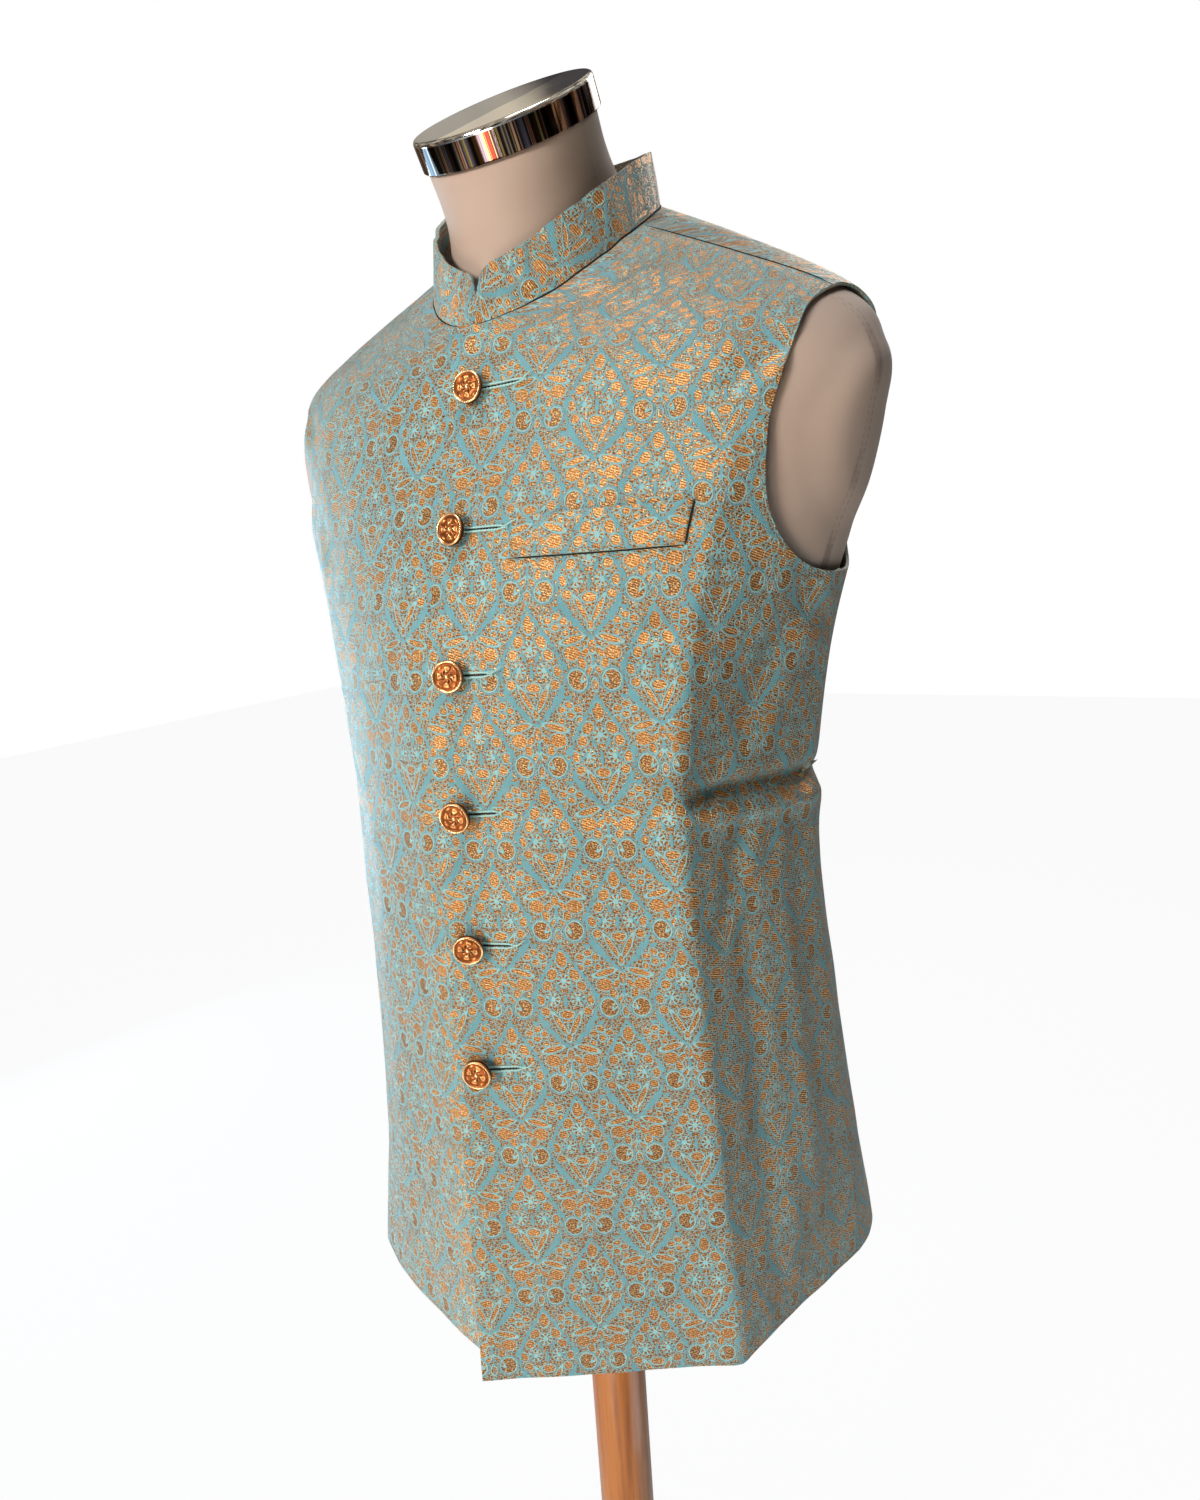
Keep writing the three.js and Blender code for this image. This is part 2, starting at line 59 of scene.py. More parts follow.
camera_way = np.array([np.sin(CAMERA_AZIMUTH), -np.cos(CAMERA_AZIMUTH), 0])
camera_place = jacket_centre + CAMERA_DISTANCE * camera_way + np.array([0, 0, CAMERA_OVER_HEM])
look_azimuth = CAMERA_AZIMUTH + CAMERA_TURN
look = np.array([-np.sin(look_azimuth) * np.cos(CAMERA_DIP), np.cos(look_azimuth) * np.cos(CAMERA_DIP),
                 -np.sin(CAMERA_DIP)])
level = np.array([np.cos(look_azimuth), np.sin(look_azimuth), 0])
upright = np.cross(level, look)
camera_right = level * np.cos(CAMERA_ROLL) + upright * np.sin(CAMERA_ROLL)
camera_up = np.cross(camera_right, look)
camera = bpy.data.objects.new("camera", bpy.data.cameras.new("camera"))
camera.data.lens = CAMERA_LENS
camera.data.clip_start = 0.01
turn = Matrix(np.column_stack([camera_right, camera_up, -look]).tolist()).to_4x4()
camera.matrix_world = Matrix.Translation(Vector(camera_place)) @ turn
bpy.context.scene.collection.objects.link(camera)
bpy.context.scene.camera = camera


# ---- Materials' shared way of wiring, first used by the studio ----
# A Wire is one socket of a material's tree: Python's operators on it add Math nodes, and node()
# adds any other kind.
class Wire:
    """A socket in a node tree."""

    def __init__(self, tree, socket=None):
        self.tree = tree
        self.socket = socket

    def node(self, kind, settings=None, values=None, outlet=0):
        """Adds a node: its settings first, then the values or wires of its sockets."""
        made = self.tree.nodes.new("ShaderNode" + kind)
        for name, setting in (settings or {}).items():
            if name == "stops":
                for place, colour in setting[1:-1]:
                    made.color_ramp.elements.new(place).color = colour
                made.color_ramp.elements[0].position, made.color_ramp.elements[0].color = setting[0]
                made.color_ramp.elements[-1].position, made.color_ramp.elements[-1].color = setting[-1]
            else:
                setattr(made, name, setting)
        for name, value in (values or {}).items():
            if isinstance(value, Wire):
                self.tree.links.new(value.socket, made.inputs[name])
            else:
                made.inputs[name].default_value = value
        return Wire(self.tree, made.outputs[outlet] if made.outputs else None)

    def math(self, operation, *values):
        return self.node("Math", {"operation": operation}, dict(enumerate(values)))

    def __add__(self, other): return self.math("ADD", self, other)
    def __radd__(self, other): return self.math("ADD", other, self)
    def __sub__(self, other): return self.math("SUBTRACT", self, other)
    def __rsub__(self, other): return self.math("SUBTRACT", other, self)
    def __mul__(self, other): return self.math("MULTIPLY", self, other)
    def __rmul__(self, other): return self.math("MULTIPLY", other, self)
    def __truediv__(self, other): return self.math("DIVIDE", self, other)
    def __abs__(self): return self.math("ABSOLUTE", self)

    def outlet(self, which):
        """Another socket of the node that this wire comes from."""
        return Wire(self.tree, self.socket.node.outputs[which])

    def parts(self):
        """The x, y and z of this vector."""
        split = self.node("SeparateXYZ", {}, {0: self})
        return [split.outlet(k) for k in range(3)]

    def noise(self, scale, detail, dimensions="3D"):
        """A noise texture at this place, or along this number where dimensions is 1D."""
        place = "W" if dimensions == "1D" else "Vector"
        return self.node("TexNoise", {"noise_dimensions": dimensions}, {
            place: self, "Scale": scale, "Detail": detail})

    def ramp(self, stops):
        """A colour ramp read at this number; stops are pairs of a place and a colour."""
        return self.node("ValToRGB", {"stops": stops}, {0: self})

    def bump(self, strength, distance):
        """This height as relief, for a shader's normal."""
        return self.node("Bump", {}, {"Height": self, "Strength": strength, "Distance": distance})

    def rise(self, low, high):
        """0 where this is low or less, 1 where it is high or more, straight between."""
        return self.node("MapRange", {}, {0: self, 1: low, 2: high})

    def most(self, other):
        return self.math("MAXIMUM", self, other)

    def within(self, reach, soft):
        """1 where this distance is under reach, 0 where it is over, over a soft width."""
        return self.node("MapRange", {"interpolation_type": "SMOOTHSTEP"}, {
            0: self, 1: reach - soft, 2: reach + soft, 3: 1.0, 4: 0.0})

    def mix(self, other, share):
        """This colour where share is 0, the other where it is 1."""
        return self.node("Mix", {"data_type": "RGBA"}, {0: share, 6: self, 7: other}, 2)


def paint(code):
    """The linear colour of a six-digit colour code."""
    parts = [int(code[i:i + 2], 16) / 255 for i in (0, 2, 4)]
    return [c / 12.92 if c <= 0.04045 else ((c + 0.055) / 1.055) ** 2.4 for c in parts] + [1.0]


def colour(wire, code):
    """A wire's colour may be a plain code: a Mix node holds it."""
    return wire.node("Mix", {"data_type": "RGBA"}, {0: 0.0, 6: paint(code), 7: paint(code)}, 2)


def finish_of(name, **constants):
    """A new material: the wire to build it from, and its shader with the constant sockets set."""
    material = bpy.data.materials.new(name)
    material.use_nodes = True
    tree = material.node_tree
    shader = tree.nodes["Principled BSDF"]
    for socket, value in constants.items():
        shader.inputs[socket.replace("_", " ").title().replace("Ior", "IOR")].default_value = value
    return material, Wire(tree), shader


def plug(wire, shader, **sockets):
    """Links wires to the shader's named sockets."""
    for socket, value in sockets.items():
        wire.tree.links.new(value.socket, shader.inputs[socket.replace("_", " ").title()])


# ---- Studio ----
# A plain pale floor and a white backdrop. A large key light stands before the jacket, with weak
# fills. Round about is a dim shop, dark below and striped with shelves, for polished metal and the
# metal threads to mirror.
FLOOR_SIDE = 14.0
LIGHTS_AIM = 0.42              # over the hem

scene = bpy.context.scene
scene.view_settings.view_transform = "Standard"
world = bpy.data.worlds.new("studio")
world.use_nodes = True
scene.world = world
sky = Wire(world.node_tree)
world.node_tree.nodes.clear()
seen = sky.node("LightPath")
way = sky.node("TexCoord")
across, deep, height = way.parts()
shelves = sky.math("ARCTAN2", across, deep).noise(5.0, 4.0, "1D")
stock = shelves.ramp([
    (0.30, (0.01, 0.009, 0.009, 1)), (0.42, (0.10, 0.055, 0.03, 1)), (0.47, (0.02, 0.018, 0.02, 1)),
    (0.53, (0.34, 0.24, 0.16, 1)), (0.58, (0.05, 0.04, 0.07, 1)), (0.68, (0.55, 0.44, 0.33, 1))])
lamps = way.noise(6.0, 1.0).ramp([(0.47, (0.07, 0.07, 0.08, 1)), (0.52, (0.8, 0.74, 0.62, 1))])
ceiling = height.ramp([(0.30, (0, 0, 0, 1)), (0.62, (1, 1, 1, 1))])
shop = stock.mix(lamps, ceiling)
from_right = sky.node("MapRange", {}, {0: across, 1: -0.6, 2: 0.4, 3: 0.17, 4: 0.025})
surround = sky.node("Background", {}, {0: (0.66, 0.87, 1.0, 1), 1: from_right})
room = sky.node("Background", {}, {0: shop, 1: 0.9})
white = sky.node("Background", {}, {0: (1, 1, 1, 1), 1: 1.0})
lit = sky.node("MixShader", {}, {0: seen.outlet("Is Glossy Ray"), 1: surround, 2: room})
sky.node("OutputWorld", {}, {0: sky.node("MixShader", {}, {0: seen, 1: lit, 2: white})})


def stage_sheet(name, corners, code, roughness):
    """A flat four-cornered card of the studio."""
    mesh = bpy.data.meshes.new(name)
    mesh.from_pydata(corners, [], [(0, 1, 2, 3)])
    card = bpy.data.objects.new(name, mesh)
    scene.collection.objects.link(card)
    material, wire, shader = finish_of(name, roughness=roughness)
    shader.inputs["Base Color"].default_value = paint(code)
    mesh.materials.append(material)
    return card


half = FLOOR_SIDE / 2
floor_corners = [(-half, -half, 0), (half, -half, 0), (half, half, 0), (-half, half, 0)]
floor = stage_sheet("floor", floor_corners, "D8D7D5", 0.8)
paper = Wire(floor.data.materials[0].node_tree)
paper_shader = Wire(paper.tree, paper.tree.nodes["Principled BSDF"].outputs[0])
glow = paper.node("Emission", {}, {0: (1, 1, 1, 1), 1: 1.0})
floor_seen = paper.node("LightPath") * 0.95
paper.tree.links.new(paper.node("MixShader", {}, {0: floor_seen, 1: paper_shader, 2: glow}).socket,
                     paper.tree.nodes["Material Output"].inputs[0])


def softbox(name, azimuth, elevation, distance, size, power, tint=(1, 1, 1)):
    """A square area light that looks at the jacket's chest from an azimuth and elevation in degrees."""
    a, e = np.radians(azimuth), np.radians(elevation)
    chest = jacket_centre + np.array([0, 0, LIGHTS_AIM])
    back = np.array([np.sin(a) * np.cos(e), -np.cos(a) * np.cos(e), np.sin(e)])
    light = bpy.data.objects.new(name, bpy.data.lights.new(name, "AREA"))
    light.data.energy = power
    light.data.size = size
    light.data.color = tint
    light.location = Vector(chest + back * distance)
    light.rotation_mode = "QUATERNION"
    light.rotation_quaternion = Vector(-back).to_track_quat("-Z", "Y")
    scene.collection.objects.link(light)


softbox("key", -14, 14, 3.0, 0.8, 70, (1.0, 0.965, 0.92))
softbox("bounce", 2, -24, 1.7, 0.7, 11, (1.0, 0.84, 0.68))
softbox("fill", -104, -6, 2.4, 1.4, 40, (0.42, 0.72, 1.0))
softbox("rear", 172, 36, 2.8, 1.2, 24, (1.0, 0.98, 0.95))
softbox("top", 15, 76, 2.3, 0.7, 20, (0.94, 0.97, 1.0))
softbox("side bounce", 88, -44, 1.25, 0.6, 1.8, (0.70, 0.88, 1.0))


# ---- Jacket body: the surface that the three panels, the collar and the form share ----
# The jacket is cut from a stiff interlined brocade, so it keeps one smooth shape from hem to neck.
# Each ring of the body is named by its height v at the side seam, in millimetres over the hem: zf,
# zb are its heights and yf, yb its depths at centre front and back; kx, ky the corner that the left
# front bends round, kr its x on the right; sx, sy the side; bx, by the back's corner; hf, hb how
# sharply the ring turns its corners. Widths and depths come from the sizes named here.
MM = 0.001
RING_COLUMNS = "v zf zb yf kx ky kr sx sy bx by yb hf hb".split()
WAIST_LEVEL, BELLY_LEVEL, SHOULDER_LEVEL, NECK_LEVEL = 330.0, 420.0, 665.0, 763.0
HEM_HALF, WAIST_HALF, SHOULDER_HALF, SKIRT_FLARE = 186, 173, 228, 22
FRONT_HEM, FRONT_BELLY, FRONT_NECK = 168, 158, 97
BACK_HEM, BACK_WAIST, BACK_SHOULDER = 176, 114, 98
BACK_ROUNDING, CORNER_TOP = 4, 220.0
ROUND_TURN = 0.57


def climb(v, low, high, power=1.0):
    """0 below low, 1 above high, and between them the height risen, raised to a power."""
    return np.clip((v - low) / (high - low), 0, 1)**power


def ease(t):
    """An S curve from 0 to 1."""
    return t * t * (3 - 2 * t)


def smooth(low, high, value):
    """0 below low, 1 above high, an S curve between."""
    return ease(climb(value, low, high))


def side_half(v):
    """Half width at the side: a straight skirt, and an eased swell from waist to shoulders."""
    swell = ease(climb(v, WAIST_LEVEL, SHOULDER_LEVEL, 1.5))
    skirt = (HEM_HALF - WAIST_HALF) * (1 - climb(v, 0, WAIST_LEVEL))
    return WAIST_HALF + skirt + (SHOULDER_HALF - WAIST_HALF) * swell


def front_depth(v):
    """Depth at centre front: nearly upright to the belly, then eased back to the neck."""
    slope = ease(climb(v, BELLY_LEVEL, NECK_LEVEL, 1.08))
    skirt = (FRONT_HEM - FRONT_BELLY) * (1 - climb(v, 0, BELLY_LEVEL))
    return FRONT_BELLY + skirt - (FRONT_BELLY - FRONT_NECK) * slope


def back_depth(v):
    """Depth at centre back: a skirt that curves out to the hem, and a straight slope up."""
    skirt = (BACK_HEM - BACK_WAIST) * (1 - climb(v, 0, BELLY_LEVEL))**1.8
    return BACK_WAIST + skirt - (BACK_WAIST - BACK_SHOULDER) * climb(v, BELLY_LEVEL, SHOULDER_LEVEL)


def skirt_ring(v, kx, ky, kr, sy, hf, hb):
    side, back = side_half(v), back_depth(v)
    corner = side + SKIRT_FLARE * (1 - climb(v, 0, BELLY_LEVEL))**2
    rounded = back - BACK_ROUNDING * (1 - climb(v, 0, CORNER_TOP))
    return [v, v, v, -front_depth(v), kx, ky, kr, side, sy, corner, rounded, back, hf, hb]


def plain_ring(v, zf, zb, side, back, hf=0.55):
    front = -front_depth(v)
    return [v, zf, zb, front, side, front, side, side, 0, side, back, back, hf, ROUND_TURN]


SKIRT_RINGS = [skirt_ring(*row) for row in (     # v, kx, ky, kr, sy, hf, hb
    (0, 156, -100, 204, 55, 0.96, 0.66), (110, 157, -110, 188, 40, 0.86, 0.62),
    (220, 161, -124, 178, 22, 0.76, 0.58), (330, 167, -142, 174, 5, 0.66, 0.57),
    (420, 174, -152, 174, 0, 0.59, 0.57))]
CHEST_RINGS = [plain_ring(v, zf, zb, side_half(v), back_depth(v), hf) for v, zf, zb, hf in (
    (500, 498, 502, 0.56), (570, 562, 574, 0.55), (625, 604, 634, 0.55), (665, 632, 676, 0.55))]
SLOPE_RINGS = [plain_ring(*row) for row in (     # v, zf, zb, side, back
    (690, 650, 706, 216, 95), (705, 662, 726, 196, 92), (735, 678, 764, 138, 84),
    (NECK_LEVEL, 694, 792, 75, 74))]
JACKET_RINGS = np.array(SKIRT_RINGS + CHEST_RINGS + SLOPE_RINGS)


def rings_at(rings, v):
    """Every column of a ring table at the levels v: a cubic Hermite curve through its rows, whose
    slopes are weighted by the rows' spacing."""
    levels = rings[:, 0]
    slopes = np.gradient(rings, levels, axis=0)
    row = np.clip(np.searchsorted(levels, v, "right") - 1, 0, len(levels) - 2)
    step = (levels[row + 1] - levels[row])[..., None]
    t = (v - levels[row])[..., None] / step
    start = 2 * t**3 - 3 * t**2 + 1
    return (start * rings[row] + (1 - start) * rings[row + 1]
            + (t**3 - 2 * t**2 + t) * step * slopes[row] + (t**3 - t**2) * step * slopes[row + 1])


def bezier(t, a, b, c, d):
    """Cubic Bezier curve through a and d with handles b and c."""
    return (1 - t)**3 * a + 3 * (1 - t)**2 * t * b + 3 * (1 - t) * t * t * c + t**3 * d


def body(rings, u, v):
    """A point of the body in millimetres. u goes from 0 at centre front through 0.5 at the wearer's
    left side to 1 at centre back, negative on the right. Each quarter of a ring is a cubic curve
    round its corner, and its height is a parabola in depth through its front, side and back."""
    u, v = np.broadcast_arrays(np.asarray(u, float), np.asarray(v, float))
    u = np.where(u > 1, u - 2, u)
    ring = dict(zip(RING_COLUMNS, np.moveaxis(rings_at(rings, v), -1, 0)))
    share = np.abs(u)
    in_front = share <= 0.5
    t = np.clip(np.where(in_front, share * 2, share * 2 - 1), 0, 1)
    kx = np.where(u < 0, ring["kr"], ring["kx"])
    hf, hb, sx, sy = ring["hf"], ring["hb"], ring["sx"], ring["sy"]
    x = np.where(in_front, bezier(t, 0 * t, kx * hf, sx + (kx - sx) * hf, sx),
                 bezier(t, sx, sx + (ring["bx"] - sx) * hb, ring["bx"] * hb, 0 * t))
    y = np.where(in_front, bezier(t, ring["yf"], ring["yf"] + (ring["ky"] - ring["yf"]) * hf,
                                  sy + (ring["ky"] - sy) * hf, sy),
                 bezier(t, sy, sy + (ring["by"] - sy) * hb, ring["yb"] + (ring["by"] - ring["yb"]) * hb,
                        ring["yb"]))
    front_reach, back_reach = ring["yf"] - sy, ring["yb"] - sy
    front_rise = (ring["zf"] - ring["v"]) / front_reach
    back_rise = (ring["zb"] - ring["v"]) / back_reach
    bend = (front_rise - back_rise) / (front_reach - back_reach)
    z = ring["v"] + (front_rise - bend * front_reach) * (y - sy) + bend * (y - sy)**2
    return np.stack([np.where(u < 0, -x, x), y, z], -1)


# The left front is pressed along a line from its chest to the hem, the right one less.
CREASE_U = 0.252
CREASE_LEFT = 0.74
CREASE_RIGHT = 0.22


def jacket(u, v):
    """body() of the jacket's rings, with each front drawn part of the way to the two flats that
    meet at its crease."""
    points = body(JACKET_RINGS, u, v)
    u, v = np.broadcast_arrays(np.asarray(u, float), np.asarray(v, float))
    side = np.where(u < 0, -1, 1)
    share = np.clip(np.abs(u), 0, 0.5)
    bent = body(JACKET_RINGS, side * CREASE_U, v)
    near = share < CREASE_U
    end = body(JACKET_RINGS, np.where(near, 0, side * 0.5), v)
    along = np.where(near, share / CREASE_U, (0.5 - share) / (0.5 - CREASE_U))[..., None]
    flat = end + (bent - end) * along
    depth = np.where(u < 0, CREASE_RIGHT, CREASE_LEFT) * (1 - smooth(430, 560, v))
    depth = np.where(np.abs(np.where(u > 1, u - 2, u)) < 0.5, depth, 0)
    return points + (flat - points) * depth[..., None]


def outward(surface, u, v):
    """Unit normal of a surface function, from central differences."""
    across = surface(u + 0.002, v) - surface(u - 0.002, v)
    rise = surface(u, np.minimum(v + 1, NECK_LEVEL)) - surface(u, v - 1)
    normal = np.cross(across, rise)
    return normal / np.linalg.norm(normal, axis=-1, keepdims=True)


# The crease stands up as a sharp low ridge that falls faster towards the side than the front.
RIDGE_HEIGHT = 9.0
RIDGE_FRONT, RIDGE_SIDE = 40.0, 24.0

# Soft folds: from u0, v0 to u1, v1, the trough's half width and depth (a ridge is negative), and
# the ledge of cloth that stands below it or beside it. The long ones are the waist's, then the
# strain lines of chest and armholes, the skirt's drifts, and the back's own.
FOLD_COLUMNS = "u0 v0 u1 v1 width depth ledge".split()
FOLDS = [
    [0.26, 405, 0.55, 396, 7.5, 9, 5],
    [0.55, 396, 0.74, 404, 12, 4, 2.5],
    [-0.30, 410, -0.60, 400, 12, 6, 3],
    [-0.60, 400, -0.76, 392, 13, 4, 2],
    [0.03, 401, 0.25, 398, 9, 1.3, 0.8],
    [0.24, 414, 0.33, 421, 6, 2.4, 1.0],
    [0.22, 655, 0.31, 690, 8, 2.2, 1.0],
    [0.27, 668, 0.33, 684, 5, 1.8, 0.6],
    [0.15, 601, 0.25, 606, 5, 1.6, 0.9],
    [0.20, 512, 0.28, 507, 6, 1.8, 1.0],
    [0.15, 455, 0.25, 430, 13, 1.4, 0.9],
    [0.40, 520, 0.50, 498, 9, 2.0, 1.2],
    [0.26, 5, 0.46, 165, 26, -3.2, -1.0],
    [0.33, 30, 0.345, 370, 12, 2.2, 1.4],
    [0.42, 60, 0.425, 372, 11, -2.2, -0.8],
    [0.34, 430, 0.43, 545, 14, 2.4, 1.4],
    [0.29, 300, 0.37, 392, 8, 1.8, 1.2],
    [-0.030, 0, -0.034, 320, 8, 2.0, 0.5],
    [-0.034, 320, -0.040, 690, 8, 1.8, 0.5],
    [-0.15, 15, -0.17, 380, 20, -1.7, -0.8],
    [-0.29, 20, -0.31, 360, 15, 1.8, 1.1],
    [-0.40, 40, -0.41, 350, 12, -1.5, -0.6],
    [-0.20, 560, -0.31, 640, 15, 2.0, 1.0],
    [-0.26, 668, -0.32, 688, 7, 2.0, 0.8],
    [-0.41, 515, -0.50, 500, 9, 2.0, 1.0],
    [0.70, 30, 0.72, 350, 22, 2.2, 1.3],
    [0.84, 10, 0.85, 330, 26, -2.4, -1.0],
    [0.97, 20, 0.98, 380, 20, 2.0, 1.2],
    [-0.88, 15, -0.87, 330, 24, -2.2, -1.0],
    [-0.73, 30, -0.72, 350, 20, 2.2, 1.2],
    [0.78, 430, 0.95, 408, 12, 2.0, 1.2],
    [-0.80, 426, -0.96, 410, 12, 1.8, 1.0],
    [0.66, 610, 0.82, 660, 13, 2.2, 1.0],
    [-0.66, 606, -0.80, 655, 13, 2.0, 1.0]]
FOLD_SCALE = 500.0             # millimetres of cloth to a unit of u


def fold_height(u, v):
    """How far folds push the cloth out: for each row a bell-shaped trough along its line with a
    ledge beside it, faded at both ends, over a faint ripple of long crossed waves."""
    u = np.where(u > 1, u - 2, u)
    x = np.abs(u) * FOLD_SCALE
    height = (0.32 * np.sin(x / 9.7 + 1.4 * np.sin(v / 41)) * np.sin(v / 23 + 0.8 * np.sin(x / 33))
              + 0.22 * np.sin(x / 5.3 + v / 31) * np.sin(v / 14.5 - x / 47))
    off = (np.abs(u) - CREASE_U) * FOLD_SCALE
    reach = np.where(off < 0, RIDGE_FRONT, RIDGE_SIDE)
    press = np.where(u > 0, 1.0, 0.3) * (0.6 + 0.4 * smooth(380, 470, v)) * (1 - smooth(590, 650, v))
    height = height + RIDGE_HEIGHT * press * np.exp(0.06 - np.sqrt((off / reach)**2 + 0.0036))
    for row in FOLDS:
        fold = dict(zip(FOLD_COLUMNS, row))
        past_side = max(fold["u0"], fold["u1"]) > 0.5
        turn_u = np.where((u < 0) & past_side, u + 2, u)
        run = np.array([(fold["u1"] - fold["u0"]) * FOLD_SCALE, fold["v1"] - fold["v0"]])
        length = np.hypot(*run)
        here_x, here_v = (turn_u - fold["u0"]) * FOLD_SCALE, v - fold["v0"]
        along = (here_x * run[0] + here_v * run[1]) / length**2
        side = np.sign(run[0]) or 1
        across = side * (here_v * run[0] - here_x * run[1]) / length / fold["width"]
        ends = smooth(-0.15, 0.2, along) * (1 - smooth(0.8, 1.15, along))
        ledge, trough = fold["ledge"] * np.exp(-(across + 1.7)**2), fold["depth"] * np.exp(-across**2)
        height = height + ends * (ledge - trough)
    return height


# ---- Brocade ----
# A jacquard of turquoise silk warp and copper-gold metal weft, woven in a half-drop damask: a
# pointed ogee of plain turquoise twill round a palmette, and a lobed flower under it that spreads
# between the ogees. Each row of ORNAMENT is one woven shape, mirrored about the motif's axis: its
# kind, x and fall from the ogee's tip, half width, half height and turn in degrees.
PITCH = 37.5                   # between motif columns
FALL = 104.6                   # from one ogee's tip to the next
OGEE_LENGTH = 71.0
OGEE_HALF = 19.2
OGEE_SKEW = 1.207              # over 1: widest below the middle
OUTLINE = [(0, 0.18), (0.12, 0.25), (0.34, 0.20), (0.44, 0.10), (0.50, 0.50), (0.60, 0.42), (0.67, 0.20),
           (0.69, 0.0)]        # share of the fall, and how broad the outline is there
ORNAMENT = [
    ("solid", 0, 10.0, 3.3, 5.2, 0), ("solid", 7.1, 20.2, 3.0, 3.9, -28),
    ("solid", 11.0, 28.0, 2.8, 3.2, -20), ("solid", 15.9, 37.6, 2.3, 3.2, 10),
    ("solid", 13.4, 45.6, 2.7, 2.8, 0), ("solid", 0, 47.4, 4.2, 2.8, 0),
    ("solid", 4.9, 54.4, 1.5, 7.2, 27), ("solid", 0, 63.2, 1.5, 2.6, 0),
    ("plain", 0, 38.4, 1.2, 5.0, 0), ("plain", 20.8, 50.2, 2.9, 5.0, 0),
    ("plain", 4.2, 29.5, 1.0, 3.6, 24), ("plain", 10.4, 37.4, 0.9, 3.4, -30),
    ("solid", 0, 75.6, 2.2, 4.0, 0), ("solid", 4.6, 79.4, 1.8, 3.2, -38),
    ("solid", 12.0, 79.6, 4.9, 4.3, 0), ("solid", 11.0, 71.6, 6.4, 1.9, 16),
    ("solid", 6.8, 85.6, 2.2, 3.2, 12), ("plain", 0, 83.6, 1.1, 3.4, 0),
    ("solid", 4.1, 91.6, 1.3, 4.6, -36), ("solid", 0, 98.6, 1.7, 3.2, 0),
    ("scroll", 10.2, 95.6, 5.6, 6.4, 18), ("plain", 17.6, 86.4, 1.6, 3.2, 30),
    ("solid", 15.8, 61.0, 2.3, 2.0, 0), ("solid", 20.4, 58.0, 2.5, 1.9, 20),
    ("solid", 25.6, 60.6, 2.4, 2.0, 0), ("solid", 21.0, 64.4, 2.2, 1.9, 0),
    ("solid", 15.0, 67.6, 1.7, 2.0, -20), ("solid", 26.0, 67.6, 1.7, 2.3, 20)]
ROSETTES = [(0.0, 24.4), (8.0, 37.0)]
ROSETTE_RADIUS = 5.0
TURQUOISE = "84C2CC"
TURQUOISE_DEEP = "62A2B2"
TURQUOISE_LINE = "98C9C8"
GOLD = "E59A52"
# The pale gold of the painted glints on the metal threads: a painted highlight.
PAINTED_GLINT_GOLD = "FFDDA0"
BRONZE = "3F2B1E"


